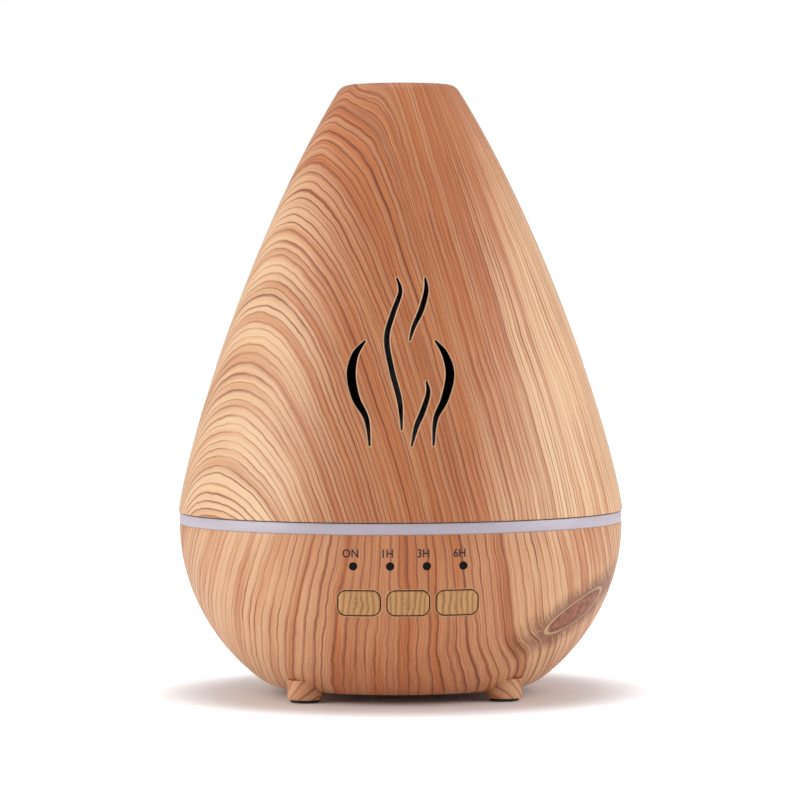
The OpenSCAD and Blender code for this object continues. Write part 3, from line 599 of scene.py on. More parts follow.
ICONS = {
    "light_button": [circle_path(0, 0, 0.85)] + [
        [(1.4 * math.cos(a), 1.4 * math.sin(a)), (2.2 * math.cos(a), 2.2 * math.sin(a))]
        for a in [math.radians(k * 45) for k in range(8)]],
    "timer_button": [circle_path(0, -0.2, 1.8, 125, 415), [(0, 2.2), (0, 0.2)], [(-0.7, -0.9), (0, 0.2)]],
    "mist_button": [drop_path(-1.0, 0.1, 1.8, 0.35), drop_path(1.3, -0.2, 1.4, -0.35)],
}


def distance_to(paths, px, pz):
    nearest = 9.0
    for path in paths:
        for (ax, az), (bx, bz) in zip(path, path[1:]):
            length = (bx - ax) ** 2 + (bz - az) ** 2
            t = min(max(((px - ax) * (bx - ax) + (pz - az) * (bz - az)) / length, 0), 1)
            nearest = min(nearest, math.hypot(px - ax - t * (bx - ax), pz - az - t * (bz - az)))
    return nearest


# %% Buttons
PROUD = 0.2 * MM
button_back = -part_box("light_button")[1].y
SOFT = 0.6 * MM
ICON_LINE = 0.34
ICON_RISE = 0.3 * MM
ICON_AREA = (3.2 * MM, 2.8 * MM)
BUTTON_GRID = (120, 76)
FLANGE_H = 1.0 * MM


def on_button(u, v):
    """A point of the unit square, moved to a rounded rectangle; also its distance from the rim."""
    ring_share = max(abs(u), abs(v), 1e-9)
    px = u / ring_share * BUTTON_W / 2
    pz = v / ring_share * BUTTON_H / 2
    corner_x = BUTTON_W / 2 - BUTTON_ROUND
    corner_z = BUTTON_H / 2 - BUTTON_ROUND
    if abs(px) > corner_x and abs(pz) > corner_z:
        ax = abs(px) - corner_x
        az = abs(pz) - corner_z
        reach = BUTTON_ROUND / math.hypot(ax, az)
        px = math.copysign(corner_x + ax * reach, px)
        pz = math.copysign(corner_z + az * reach, pz)
    return px * ring_share, pz * ring_share, (1 - ring_share) * BUTTON_H / 2


def push_button(name, x):
    bpy.ops.object.select_all(action="DESELECT")
    bpy.ops.mesh.primitive_grid_add(x_subdivisions=BUTTON_GRID[0], y_subdivisions=BUTTON_GRID[1], size=2)
    body = bpy.context.object
    for vertex in body.data.vertices:
        px, pz, rim = on_button(vertex.co.x, vertex.co.y)
        y = front_y(base_curve, x + px, BUTTON_Z + pz) - PROUD
        if rim < SOFT:
            y += SOFT - math.sqrt(SOFT ** 2 - (SOFT - rim) ** 2)
        elif abs(px) < ICON_AREA[0] and abs(pz) < ICON_AREA[1]:
            away = distance_to(ICONS[name], px / MM, pz / MM) / ICON_LINE
            if away < 1:
                y -= ICON_RISE * (1 + math.cos(math.pi * away)) / 2
        vertex.co = (x + px, y, BUTTON_Z + pz)
    edit(body, "EDGE")
    bpy.ops.mesh.select_all(action="DESELECT")
    bpy.ops.mesh.select_non_manifold()
    bpy.ops.mesh.extrude_edges_move(TRANSFORM_OT_translate={"value": (0, 2 * MM, 0)})
    bpy.ops.object.mode_set(mode="OBJECT")
    for vertex in body.data.vertices:
        if vertex.select:
            vertex.co.y = -button_back + 0.4 * MM
    bpy.ops.object.mode_set(mode="EDIT")
    bpy.ops.mesh.edge_face_add()
    tidy_normals()
    return done(body, name.replace("button", "push_button"))


buttons = []
for name, x in zip(BUTTON_NAMES, button_x):
    body = push_button(name, x)
    bpy.ops.object.select_all(action="DESELECT")
    bpy.ops.mesh.primitive_cube_add(size=1, location=(x, FLANGE_H / 2 - button_back, BUTTON_Z))
    flange = bpy.context.object
    flange.scale = (BUTTON_W + 1.4 * MM, FLANGE_H, BUTTON_H + 1.2 * MM)
    bpy.ops.object.transform_apply(location=True, rotation=True, scale=True)
    round_edges(flange, 0.2 * MM, 2)
    boolean(body, flange, "UNION")
    smooth(body, 35)
    buttons.append(body)
    print(body.name, len(body.data.polygons), "faces")

# %% [markdown]
# ## Legends over the lights
# The timer settings are printed in a thin dark ink. Text is made a mesh first, then laid on the bowl's
# curved side, a few hundredths of a millimetre thick.

# %% Legends
LEGEND_Z = LED_Z + 2.9 * MM
CAP_HEIGHT = 2.75 * MM
CAP_SHARE = 0.73
LETTER_WIDTH = 0.9
LEGEND_START = -18.5
LEGEND_PITCH = 11.65
legends = []
legend_x = [(LEGEND_START + LEGEND_PITCH * i) * MM for i in range(4)]
for words, x in zip(("ON", "1H", "3H", "6H"), legend_x):
    bpy.ops.object.select_all(action="DESELECT")
    bpy.ops.object.text_add(location=(0, 0, 0))
    legend = bpy.context.object
    legend.data.body = words
    legend.data.align_x = "CENTER"
    legend.data.size = CAP_HEIGHT / CAP_SHARE
    legend.data.offset = 0.05 * MM
    legend.data.extrude = 0.03 * MM
    legend.data.resolution_u = 6
    bpy.ops.object.convert(target="MESH")
    edit(legend)
    tidy_normals()
    done(legend, "legend_" + words)
    for vertex in legend.data.vertices:
        at_x = x + vertex.co.x * LETTER_WIDTH
        at_z = LEGEND_Z + vertex.co.y
        vertex.co = (at_x, front_y(base_curve, at_x, at_z) - 0.02 * MM - vertex.co.z, at_z)
    edit(legend)
    bpy.ops.mesh.normals_make_consistent(inside=False)
    done(legend)
    legends.append(legend)
only(legends[0])
for legend in legends:
    legend.select_set(True)
bpy.ops.object.join()
legends = bpy.context.object
legends.name = "timer_legends"
legends.data.name = "timer_legends"
print("legends at z", round(LEGEND_Z, 4), "cap height", CAP_HEIGHT)

# %% [markdown]
# ## Rubber pads
# A thin soft pad under each foot stops the object sliding. Each is made as a disc with rounded edges, and
# the four are joined into one piece.

# %% Foot pads
pads = []
for x, y in foot_places:
    pad = stud("pad", x, y, 0, PAD_H, FOOT_R - 1 * MM, 0, 64)
    round_edges(pad, 0.2 * MM, 3)
    smooth(pad, 40)
    pads.append(pad)
only(pads[0])
for pad in pads:
    pad.select_set(True)
bpy.ops.object.join()
foot_pads = bpy.context.object
done(foot_pads, "rubber_foot_pads")
print("pads:", len(foot_places), "each", round(PAD_H * 1000, 2), "mm thick")

# %% [markdown]
# ## Node helpers
# Finishes are made from small node graphs. A few short helpers keep them readable: some do a sum, one
# blends two colours, one maps a range to another, one makes noise.

# %% Node helpers
def srgb(red, green, blue):
    return tuple((c / 255 / 12.92 if c <= 10 else ((c / 255 + 0.055) / 1.055) ** 2.4)
                 for c in (red, green, blue)) + (1.0,)


def new_finish(name):
    finish = bpy.data.materials.new(name)
    finish.use_nodes = True
    tree = finish.node_tree
    shader = tree.nodes["Principled BSDF"]
    return finish, tree, shader


def put(tree, socket, value):
    if isinstance(value, bpy.types.NodeSocket):
        tree.links.new(value, socket)
    else:
        socket.default_value = value


def calc(tree, operation, *values, clamp=False):
    node = tree.nodes.new("ShaderNodeMath")
    node.operation = operation
    node.use_clamp = clamp
    for socket, value in zip(node.inputs, values):
        put(tree, socket, value)
    return node.outputs[0]


def times(tree, first, second):
    return calc(tree, "MULTIPLY", first, second)


def plus(tree, first, second):
    return calc(tree, "ADD", first, second)


def minus(tree, first, second):
    return calc(tree, "SUBTRACT", first, second)


def over(tree, first, second):
    return calc(tree, "DIVIDE", first, second)


def blend(tree, factor, first, second):
    node = tree.nodes.new("ShaderNodeMix")
    node.data_type = "RGBA"
    put(tree, node.inputs["Factor"], factor)
    put(tree, node.inputs["A"], first)
    put(tree, node.inputs["B"], second)
    return node.outputs["Result"]


def between(tree, value, low, high, out_low=0.0, out_high=1.0, soft=True):
    node = tree.nodes.new("ShaderNodeMapRange")
    node.interpolation_type = "SMOOTHSTEP" if soft else "LINEAR"
    node.clamp = True
    for socket, item in zip(node.inputs, (value, low, high, out_low, out_high)):
        put(tree, socket, item)
    return node.outputs[0]


def noise(tree, vector, scale, detail=2.0, rough=0.5, w=None):
    node = tree.nodes.new("ShaderNodeTexNoise")
    node.noise_dimensions = "4D" if w is not None else "3D"
    put(tree, node.inputs["Vector"], vector)
    put(tree, node.inputs["Scale"], scale)
    put(tree, node.inputs["Detail"], detail)
    put(tree, node.inputs["Roughness"], rough)
    if w is not None:
        put(tree, node.inputs["W"], w)
    return node.outputs["Fac"]


def scaled(tree, vector, factor):
    node = tree.nodes.new("ShaderNodeVectorMath")
    node.operation = "SCALE"
    put(tree, node.inputs[0], vector)
    node.inputs["Scale"].default_value = factor
    return node.outputs[0]


def bump(tree, shader, height, depth, strength=1.0):
    node = tree.nodes.new("ShaderNodeBump")
    node.inputs["Strength"].default_value = strength
    node.inputs["Distance"].default_value = depth
    put(tree, node.inputs["Height"], height)
    tree.links.new(node.outputs["Normal"], shader.inputs["Normal"])


def place(tree, turn_z=0.0):
    coordinates = tree.nodes.new("ShaderNodeTexCoord").outputs["Object"]
    mapping = tree.nodes.new("ShaderNodeMapping")
    mapping.inputs["Rotation"].default_value = (0, 0, turn_z)
    tree.links.new(coordinates, mapping.inputs["Vector"])
    return mapping.outputs["Vector"]


def parts_of(tree, vector):
    node = tree.nodes.new("ShaderNodeSeparateXYZ")
    tree.links.new(vector, node.inputs[0])
    return node.outputs


# %% [markdown]
# ## The wood print
# The film is a printed copy of sawn softwood. In such wood each year leaves a thin dark line, and the
# lines are level curves of one smooth field. On the cover the field rises to arches at the left and runs
# almost upright elsewhere. On the bowl the lines fan upwards and bend round a knot. Every detail then
# reads the field: growth lines, fine fibres, broad darker bands and tiny pores all follow the same
# curves, which is what makes the print look like wood.

# %% The growth field of each piece, in millimetres across the lines
IN_MM = 1000.0
CREST = -1.009
ARCH_WIDTH = 0.922
ARCH_POWER = 2.771
ARCH_HEIGHT = 156.6
TIP_SQUARED = 0.0784
FLANK = 15.05
SPREAD = 24.35
SPREAD_END = 1.9
BOWL_SCALE = 60.0
FAN_FROM = 23.2
FAN_POWER = 0.668


def round_angle(tree, x, y):
    """The angle about the upright axis, nought at the front."""
    return calc(tree, "ARCTAN2", x, times(tree, y, -1.0))


def cover_field(tree):
    turned = place(tree, -CREST)
    x, y, z = parts_of(tree, turned)
    around = calc(tree, "ABSOLUTE", round_angle(tree, x, y))
    height = times(tree, z, IN_MM)
    fade = calc(tree, "POWER", over(tree, around, ARCH_WIDTH), ARCH_POWER)
    fade = over(tree, 1.0, plus(tree, 1.0, fade))
    squared = times(tree, around, calc(tree, "MINIMUM", around, SPREAD_END))
    rounded_tip = calc(tree, "SQRT", plus(tree, times(tree, around, around), TIP_SQUARED))
    sides = plus(tree, times(tree, rounded_tip, FLANK), times(tree, squared, SPREAD))
    arches = times(tree, minus(tree, height, ARCH_HEIGHT), fade)
    return turned, plus(tree, arches, sides)


def base_field(tree):
    straight = place(tree)
    x, y, z = parts_of(tree, straight)
    angle = round_angle(tree, x, y)
    height = times(tree, z, IN_MM)
    fan = plus(tree, calc(tree, "MAXIMUM", height, -8.0), FAN_FROM)
    fan = calc(tree, "POWER", over(tree, fan, BOWL_SCALE), FAN_POWER)
    return straight, angle, height, times(tree, times(tree, angle, BOWL_SCALE), fan)


KNOT_ANGLE = 0.98
KNOT_Z = 29.8
BOWL_R_THERE = 62.0
KNOT_COS = 0.907
KNOT_SIN = 0.421
KNOT_LENGTH = 14.5
KNOT_WIDTH = 4.4


def knot_parts(tree, angle, height):
    """How far across a tilted knot on the bowl's front right, and how far out on its ovals."""
    du = times(tree, minus(tree, angle, KNOT_ANGLE), BOWL_R_THERE)
    dz = minus(tree, height, KNOT_Z)
    along = plus(tree, times(tree, du, KNOT_COS), times(tree, dz, KNOT_SIN))
    across = minus(tree, times(tree, du, KNOT_SIN), times(tree, dz, KNOT_COS))
    along_part = calc(tree, "POWER", over(tree, along, KNOT_LENGTH), 2.0)
    across_part = calc(tree, "POWER", over(tree, across, KNOT_WIDTH), 2.0)
    return across, calc(tree, "SQRT", plus(tree, along_part, across_part))


def bend_round_knot(tree, vector, field, across, oval):
    """The lines part round the knot, and inside it they become its ovals."""
    push = plus(tree, 1.0, times(tree, times(tree, oval, oval), 0.45))
    field = minus(tree, field, over(tree, times(tree, across, 0.9), push))
    rough_edge = noise(tree, vector, 260.0, 3.0, 0.6)
    knot = between(tree, plus(tree, oval, times(tree, rough_edge, 0.5)), 1.45, 0.95)
    outside = times(tree, field, minus(tree, 1.0, knot))
    return knot, plus(tree, outside, times(tree, times(tree, oval, 7.0), knot))


# %% From field to printed grain
LIGHT_WOOD = srgb(232, 192, 149)
WARM_AND_SHADED_WOOD = srgb(201, 123, 71)
LINE_WOOD = srgb(146, 74, 43)
DARK_WOOD = srgb(104, 52, 32)
KNOT_WOOD = srgb(158, 94, 60)
YEAR = 2.75
FINE_YEAR = 0.92
LINE_RELIEF = 0.00012


def year_lines(tree, vector, field):
    """Thin lines, one a year, each with its own strength, and fainter in places."""
    uneven = noise(tree, vector, 4.0, 1.0, 0.5, w=times(tree, field, 0.06))
    years = plus(tree, over(tree, field, YEAR), times(tree, uneven, 1.2))
    part_of_year = calc(tree, "FRACT", years)
    rise = between(tree, part_of_year, 0.62, 0.94)
    drop = between(tree, part_of_year, 0.95, 1.0, 1.0, 0.0)
    number = tree.nodes.new("ShaderNodeTexWhiteNoise")
    number.noise_dimensions = "1D"
    tree.links.new(calc(tree, "FLOOR", years), number.inputs["W"])
    of_line = between(tree, number.outputs["Value"], 0.0, 1.0, 0.6, 1.0, False)
    along_line = between(tree, noise(tree, vector, 45.0, 2.0), 0.3, 0.6, 0.45, 1.0)
    return times(tree, times(tree, times(tree, rise, drop), of_line), along_line)


def fine_lines(tree, vector, field, ripple):
    """A second, finer set of lines, which shows only in some zones."""
    part = calc(tree, "FRACT", plus(tree, over(tree, field, FINE_YEAR), times(tree, ripple, 0.8)))
    line = times(tree, between(tree, part, 0.45, 0.85), between(tree, part, 0.86, 1.0, 1.0, 0.0))
    zone = between(tree, noise(tree, vector, 14.0, 2.0, 0.5, w=7.3), 0.38, 0.62, 0.12, 0.55)
    return times(tree, line, zone)


def tone_and_middle_shade(tree, vector, field, middle_end):
    """Light wood at the sides; warmer and darker in the middle, front and back, which is painted shade
    where the side lights reach less, and in some bands of the print's own tone.
    """
    tone = noise(tree, vector, 9.0, 2.0, 0.5, w=times(tree, field, 0.03))
    front = parts_of(tree, tree.nodes.new("ShaderNodeTexCoord").outputs["Object"])
    # Painted shade: the wood turns darker and warmer where x is small, the middle between the two side
    # lights.
    middle = between(tree, calc(tree, "ABSOLUTE", front[0]), 0.012, 0.05, 1.0, middle_end)
    toned = between(tree, tone, 0.42, 0.68, 0.0, 0.5)
    return calc(tree, "ADD", times(tree, middle, 0.78), toned, clamp=True)


def draw_knot(tree, vector, colour, knot, oval, fibres):
    """A frayed dark surround, a mottled brown heart and a pale ring just inside its edge."""
    frayed = plus(tree, oval, times(tree, noise(tree, vector, 150.0, 3.0, 0.6), 1.3))
    smear = times(tree, between(tree, frayed, 3.1, 1.7), between(tree, fibres, 0.3, 0.65, 0.3, 0.85))
    colour = blend(tree, smear, colour, DARK_WOOD)
    colour = blend(tree, times(tree, knot, 0.8), colour, KNOT_WOOD)
    mottle = between(tree, noise(tree, vector, 420.0, 3.0), 0.4, 0.62, 0.0, 0.7)
    colour = blend(tree, times(tree, knot, mottle), colour, DARK_WOOD)
    edge = times(tree, between(tree, oval, 0.86, 0.95), between(tree, oval, 0.95, 1.04, 1.0, 0.0))
    return blend(tree, times(tree, edge, 0.75), colour, LIGHT_WOOD)


def wood_print(name, kind):
    finish, tree, shader = new_finish(name)
    if kind == "cover":
        vector, field = cover_field(tree)
        middle_end = 0.0
    else:
        vector, angle, height, field = base_field(tree)
        across, oval = knot_parts(tree, angle, height)
        knot, field = bend_round_knot(tree, vector, field, across, oval)
        middle_end = 0.35
    wander = minus(tree, noise(tree, vector, 22.0, 2.0, 0.45), 0.5)
    ripple = minus(tree, noise(tree, vector, 160.0, 2.0, 0.5), 0.5)
    field = plus(tree, field, plus(tree, times(tree, wander, 6.0), times(tree, ripple, 1.1)))
    strong = year_lines(tree, vector, field)
    fine = fine_lines(tree, vector, field, ripple)
    fibres = noise(tree, scaled(tree, vector, 90.0), 1.0, 3.0, 0.6, w=times(tree, field, 2.4))
    pores = noise(tree, scaled(tree, vector, 160.0), 1.0, 2.0, 0.5, w=times(tree, field, 5.0))
    band = between(tree, noise(tree, vector, 7.0, 2.0, 0.5, w=times(tree, field, 0.085)), 0.5, 0.72)
    # This share holds the print's own warm tone and the painted shade in the middle; it also deepens the
    # grain lines there.
    tone_and_shade = tone_and_middle_shade(tree, vector, field, middle_end)
    colour = blend(tree, tone_and_shade, LIGHT_WOOD, WARM_AND_SHADED_WOOD)
    fibre_part = between(tree, fibres, 0.35, 0.68)
    fibre_part = times(tree, fibre_part, between(tree, tone_and_shade, 0.1, 0.9, 0.08, 0.36))
    colour = blend(tree, fibre_part, colour, LINE_WOOD)
    colour = blend(tree, times(tree, fine, between(tree, tone_and_shade, 0.15, 0.8)), colour, LINE_WOOD)
    band_part = times(tree, band, between(tree, tone_and_shade, 0.1, 0.9, 0.14, 0.5))
    colour = blend(tree, band_part, colour, LINE_WOOD)
    colour = blend(tree, times(tree, strong, 0.95), colour, LINE_WOOD)
    deep = calc(tree, "ADD", times(tree, band, 0.6), times(tree, tone_and_shade, 0.4), clamp=True)
    colour = blend(tree, times(tree, strong, deep), colour, DARK_WOOD)
    colour = blend(tree, between(tree, pores, 0.64, 0.74, 0.0, 0.3), colour, DARK_WOOD)
    if kind == "base":
        colour = draw_knot(tree, vector, colour, knot, oval, fibres)
    tree.links.new(colour, shader.inputs["Base Color"])
    sheen_break = noise(tree, vector, 380.0, 2.0)
    put(tree, shader.inputs["Roughness"], between(tree, sheen_break, 0.2, 0.8, 0.40, 0.52))
    shader.inputs["Specular IOR Level"].default_value = 0.45
    relief = plus(tree, times(tree, strong, -1.0), times(tree, fibres, 0.55))
    bump(tree, shader, relief, LINE_RELIEF, 0.7)
    return finish


WOOD = {"cover": wood_print("wood_print_cover", "cover"), "base": wood_print("wood_print_base", "base")}
print("wood print nodes:", {k: len(m.node_tree.nodes) for k, m in WOOD.items()})

# %% [markdown]
# ## Plastics, metals and rubber
# A moulded plastic is never one flat colour: it has faint clouding, a fine texture and small changes in
# gloss. Metals have brushed streaks or plating marks. Two recipes, with their own colour, gloss and
# grain size for each part, cover every remaining surface.

# %% Two recipes
def moulded(name, colour, roughness, cloud=0.06, texture=900.0, depth=0.00003, clear=0.0, through=0.0):
    finish, tree, shader = new_finish(name)
    vector = place(tree)
    clouding = noise(tree, vector, 38.0, 3.0)
    darker = tuple(c * (1 - cloud * 3) for c in colour[:3]) + (1.0,)
    clouded = blend(tree, between(tree, clouding, 0.3, 0.75), colour, darker)
    tree.links.new(clouded, shader.inputs["Base Color"])
    grain = noise(tree, vector, texture, 2.0)
    gloss = between(tree, grain, 0.25, 0.75, roughness - 0.05, roughness + 0.07)
    put(tree, shader.inputs["Roughness"], gloss)
    shader.inputs["Coat Weight"].default_value = clear
    shader.inputs["Coat Roughness"].default_value = 0.12
    if through:
        shader.inputs["Subsurface Weight"].default_value = through
        shader.inputs["Subsurface Radius"].default_value = (0.004, 0.0035, 0.004)
        shader.inputs["Subsurface Scale"].default_value = 1.0
    bump(tree, shader, grain, depth, 0.5)
    return finish


def metal(name, colour, roughness, stretch=(1, 1, 12), scale=260.0):
    finish, tree, shader = new_finish(name)
    coordinates = tree.nodes.new("ShaderNodeTexCoord").outputs["Object"]
    mapping = tree.nodes.new("ShaderNodeMapping")
    mapping.inputs["Scale"].default_value = stretch
    tree.links.new(coordinates, mapping.inputs["Vector"])
    marks = noise(tree, mapping.outputs["Vector"], scale, 4.0, 0.6)
    worn = tuple(c * 0.72 for c in colour[:3]) + (1.0,)
    marked = blend(tree, between(tree, marks, 0.3, 0.75), colour, worn)
    tree.links.new(marked, shader.inputs["Base Color"])
    shader.inputs["Metallic"].default_value = 1.0
    gloss = between(tree, marks, 0.2, 0.8, roughness - 0.06, roughness + 0.12)
    put(tree, shader.inputs["Roughness"], gloss)
    bump(tree, shader, marks, 0.00002, 0.4)
    return finish


FINISHES = {
    "milky_plastic": moulded("milky_plastic", srgb(190, 181, 191), 0.36, 0.02, 500.0, 0.00001, 0.1, 0.4),
    "white_plastic": moulded("white_plastic", srgb(232, 232, 228), 0.34, 0.03),
    "silicone": moulded("silicone", srgb(214, 212, 202), 0.62, 0.05, 700.0),
    "rubber": moulded("rubber", srgb(38, 36, 35), 0.78, 0.12, 1200.0, 0.00006),
    "dark_plastic": moulded("dark_plastic", srgb(36, 36, 38), 0.52, 0.1, 1400.0, 0.00004),
    "board_green": moulded("board_green", srgb(34, 98, 66), 0.36, 0.12, 300.0, 0.00003, 0.5),
    "capacitor_sleeve": moulded("capacitor_sleeve", srgb(38, 52, 78), 0.3, 0.06, 800.0, 0.00001, 0.4),
    "ivory_plastic": moulded("ivory_plastic", srgb(226, 218, 196), 0.34, 0.04),
    "clear_plastic": moulded("clear_plastic", srgb(204, 214, 220), 0.14, 0.03, 500.0, 0.00001, 0.5, 0.3),
    "smoked_plastic": moulded("smoked_plastic", srgb(18, 16, 15), 0.35, 0.1, 700.0, 0.00001),
    "wire_red": moulded("wire_red", srgb(164, 44, 36), 0.42, 0.05),
    "wire_black": moulded("wire_black", srgb(30, 30, 31), 0.44, 0.06),
    "wire_grey": moulded("wire_grey", srgb(186, 186, 184), 0.42, 0.05),
    "brass": metal("brass", srgb(206, 168, 96), 0.26),
    "copper": metal("copper", srgb(190, 112, 66), 0.3, (1, 1, 30), 420.0),
    "steel": metal("steel", srgb(188, 190, 194), 0.3),
    "aluminium": metal("aluminium", srgb(206, 208, 212), 0.36, (14, 1, 1)),
}
smoked_shader = FINISHES["smoked_plastic"].node_tree.nodes["Principled BSDF"]
smoked_shader.inputs["Specular IOR Level"].default_value = 0.12
print("finishes:", len(FINISHES) + len(WOOD))

# %% [markdown]
# ## The button print and the cut edges
# The buttons carry a yellower print with straight grain. Where the slots are cut, bare tan plastic
# shows. Legends are a thin brown-black ink.

# %% Button print, bare plastic, ink
BUTTON_YEAR = 1.9


def button_print():
    finish, tree, shader = new_finish("button_print")
    vector = place(tree)
    x, y, z = parts_of(tree, vector)
    sway = noise(tree, vector, 110.0, 2.0)
    field = plus(tree, times(tree, x, IN_MM), times(tree, sway, 3.2))
    share = calc(tree, "FRACT", over(tree, field, BUTTON_YEAR))
    line = times(tree, between(tree, share, 0.35, 0.88), between(tree, share, 0.9, 1.0, 1.0, 0.0))
    fibres = noise(tree, scaled(tree, vector, 120.0), 1.0, 3.0, 0.6, w=times(tree, field, 2.0))
    fibre_part = between(tree, fibres, 0.3, 0.7, 0.0, 0.45)
    colour = blend(tree, fibre_part, srgb(206, 156, 98), srgb(170, 116, 66))
    colour = blend(tree, times(tree, line, 0.7), colour, srgb(138, 84, 46))
    tree.links.new(colour, shader.inputs["Base Color"])
    put(tree, shader.inputs["Roughness"], between(tree, fibres, 0.2, 0.8, 0.38, 0.5))
    bump(tree, shader, fibres, 0.00008, 0.5)
    return finish


BUTTON_PRINT = button_print()
BARE = moulded("bare_tan_plastic", srgb(214, 170, 128), 0.45, 0.04)
# The inside of the cover is near black: painted shade, so that the slots read dark.
PAINTED_SHADE_INSIDE = moulded("painted_shade_inner_face", srgb(46, 38, 33), 0.7, 0.1)
INK = moulded("legend_ink", srgb(34, 22, 18), 0.6, 0.08)

# %% [markdown]
# ## Giving every part its finish
# The film covers only what a hand can reach from outside. Faces inside the cover, and the walls of its
# slots, get their own finish, chosen by where each face is and which way it looks. The inside of the cover
# is near black, a painted shade, so that the slots read dark.

# %% Assign finishes
def dress(piece, *finishes):
    piece.data.materials.clear()
    for finish in finishes:
        piece.data.materials.append(finish)
    for face in piece.data.polygons:
        face.material_index = 0


def dress_by(piece, test, finishes):
    dress(piece, *finishes)
    counts = [0] * len(finishes)
    for face in piece.data.polygons:
        face.material_index = test(face)
        counts[face.material_index] += 1
    print(piece.name, "faces by finish:", counts)


FILM = 0
CUT = 1
PAINTED_SHADE_FACES = 2
FILM_DEPTH = 0.08 * MM


def cover_face(face):
    """The film lies on the outer side, the crown and the lower edge; slot walls are bare."""
    c = face.center
    r = math.hypot(c.x, c.y)
    outer = radius_at(cover_curve, c.z) if c.z < shoulder_z else 1
    if c.z > TOP_Z - 2.6 * MM and face.normal.z > -0.2:
        return FILM
    if c.z < shoulder_z and r > outer - FILM_DEPTH:
        return FILM
    if c.z >= shoulder_z - 1 * MM and face.normal.z > -0.2 and r > 14 * MM:
        return FILM
    if c.z < COVER_Z + 1.2 * MM:
        return FILM
    inward = (c.x * face.normal.x + c.y * face.normal.y) / max(r, 1e-9)
    # Faces inside the cover take the near-black finish, painted shade seen through the slots.
    if inward < -0.7 or r < outer - WALL * 0.6 or c.z > shoulder_z - 4 * MM:
        return PAINTED_SHADE_FACES
    return CUT


def bowl_face(face):
    """The film lies on the outer side, the feet and the bottom; everything further in is bare."""
    c = face.center
    on_side = math.hypot(c.x, c.y) > radius_at(base_curve, c.z) - FILM_DEPTH
    return FILM if on_side or c.z < CLEAR_Z + 0.5 * MM else CUT


dress_by(cover, cover_face, (WOOD["cover"], BARE, PAINTED_SHADE_INSIDE))
dress_by(bowl, bowl_face, (WOOD["base"], BARE))
dress(ring, FINISHES["milky_plastic"])
dress(lid, FINISHES["milky_plastic"])
dress(foot_pads, FINISHES["rubber"])
dress(legends, INK)
for body in buttons:
    dress(body, BUTTON_PRINT)

for node_name, node in nodes.items():
    for holder in node.material_slots:
        named = (holder.material.name if holder.material else "").split(".")[0]
        if named in FINISHES:
            holder.material = FINISHES[named]
        elif named == "wood_print":
            holder.material = WOOD["base"] if node_name == "base_shell" else WOOD["cover"]
        elif named == "button_print":
            holder.material = BUTTON_PRINT
        else:
            print("no finish for", node_name, named)

# Each piece, the body it rides on, the part it stands for, and its material slot.
PIECES = [
    (cover, "outer_cover", "outer_cover", "wood_print"),
    (bowl, "base", "base_shell", "wood_print"),
    (ring, "base", "light_ring", "milky_plastic"),
    (lid, "inner_cover", "inner_cover", "milky_plastic"),
    (foot_pads, "base", "foot_pads", "rubber"),
    (legends, "base", None, "rubber"),
]
PIECES += [(body, name, name, "button_print") for body, name in zip(buttons, BUTTON_NAMES)]

# %% [markdown]
# ## The studio
# A wide pale floor runs back under a white surround. Past the object it glows, a painted light, so that it
# meets the surround without a horizon; the glow hardly lights the object. Close round the object it does
# not glow, so the grey patch under the object is partly painted shadow and partly cast shadow. Two large
# soft lights, left and right, brighten the sides of the body and leave its middle a little deeper, where
# the wood print adds painted shade as well.
# Another hangs above, and a weak one fills the front.

# %% Floor and lights
bpy.ops.object.select_all(action="DESELECT")
bpy.ops.mesh.primitive_plane_add(size=12, location=(0, 0, -0.0002))
floor = bpy.context.object
bpy.ops.object.transform_apply(location=True, rotation=True, scale=True)
floor.name = "studio_floor"
floor_finish, floor_tree, floor_shader = new_finish("pale_floor")
floor_shade = noise(floor_tree, place(floor_tree), 3.0, 2.0)
floor_colour = blend(floor_tree, floor_shade, srgb(250, 250, 251), srgb(246, 246, 247))
floor_tree.links.new(floor_colour, floor_shader.inputs["Base Color"])
floor_shader.inputs["Roughness"].default_value = 0.55
floor_shader.inputs["Emission Color"].default_value = (1, 1, 1, 1)
across, back, up = parts_of(floor_tree, place(floor_tree))
squares = plus(floor_tree, times(floor_tree, across, across), times(floor_tree, back, back))
away = calc(floor_tree, "SQRT", squares)
# Inside this radius the floor does not glow: a painted shadow under the object, which fades out to the full
# glow.
PAINTED_SHADOW_R = 0.062
GLOW_FULL = 0.115
glow_round_painted_shadow = between(floor_tree, away, PAINTED_SHADOW_R, GLOW_FULL, 0.0, 0.85)
floor_path = floor_tree.nodes.new("ShaderNodeLightPath")
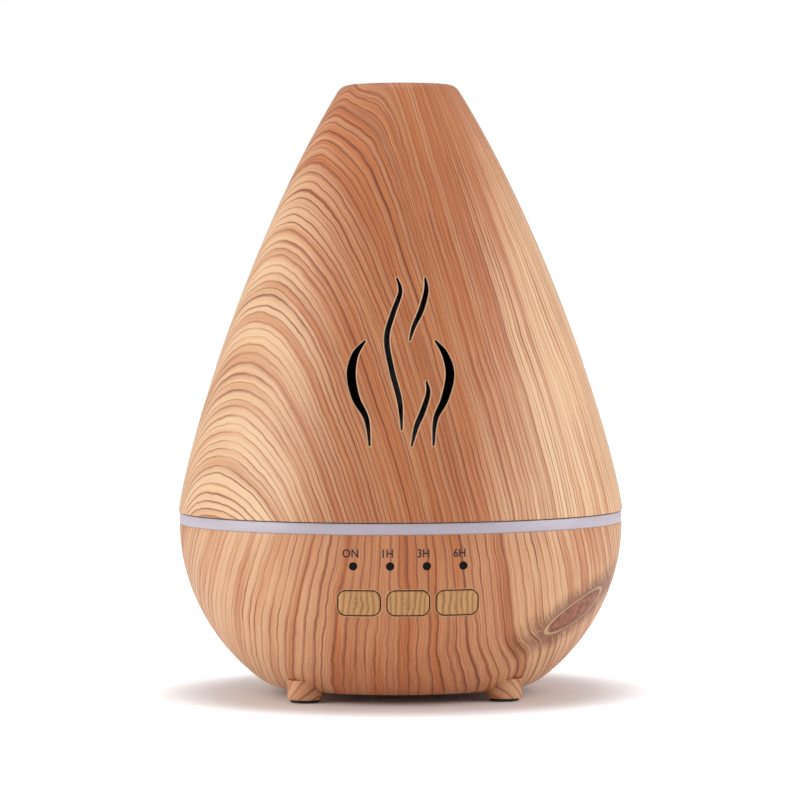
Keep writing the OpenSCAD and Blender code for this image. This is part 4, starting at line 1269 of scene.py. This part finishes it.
seen = between(floor_tree, floor_path.outputs["Is Camera Ray"], 0.0, 1.0, 0.06, 1.0)
put(floor_tree, floor_shader.inputs["Emission Strength"], times(floor_tree, glow_round_painted_shadow, seen))
dress(floor, floor_finish)


def soft_light(name, place_at, size, power, aim=(0, 0, 0.1)):
    data = bpy.data.lights.new(name, "AREA")
    data.shape = "RECTANGLE"
    data.size = size[0]
    data.size_y = size[1]
    data.energy = power
    lamp = bpy.data.objects.new(name, data)
    bpy.context.scene.collection.objects.link(lamp)
    lamp.location = place_at
    lamp.rotation_euler = (Vector(place_at) - Vector(aim)).to_track_quat("Z", "Y").to_euler()


soft_light("left_softbox", (-0.9, -0.22, 0.3), (0.7, 0.9), 5.5)
soft_light("right_softbox", (0.9, -0.22, 0.3), (0.7, 0.9), 5.0)
soft_light("front_fill", (0, -1.5, 0.75), (1.0, 0.6), 1.1)
soft_light("top_light", (0, 0.1, 1.3), (0.9, 0.9), 5.5)
world = bpy.data.worlds.new("studio_surround")
bpy.context.scene.world = world
world.use_nodes = True
world_tree = world.node_tree
surround = world_tree.nodes["Background"]
surround.inputs["Color"].default_value = (0.95, 0.96, 1.0, 1)
surround.inputs["Strength"].default_value = 0.51
backdrop = world_tree.nodes.new("ShaderNodeBackground")
backdrop.inputs["Color"].default_value = (1, 1, 1, 1)
backdrop.inputs["Strength"].default_value = 1.0
mixer = world_tree.nodes.new("ShaderNodeMixShader")
rays = world_tree.nodes.new("ShaderNodeLightPath")
world_tree.links.new(rays.outputs["Is Camera Ray"], mixer.inputs[0])
world_tree.links.new(surround.outputs[0], mixer.inputs[1])
world_tree.links.new(backdrop.outputs[0], mixer.inputs[2])
world_tree.links.new(mixer.outputs[0], world_tree.nodes["World Output"].inputs["Surface"])
bpy.context.scene.view_settings.view_transform = "Standard"

# %% [markdown]
# ## Bodies and parts
# Each new piece rides on the body it belongs to, and the part of the engineering model that it stands for
# is hidden.

# %% Bodies and parts
for piece, body, part, finish_slot in PIECES:
    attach(piece, body)
    if part:
        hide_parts(part)
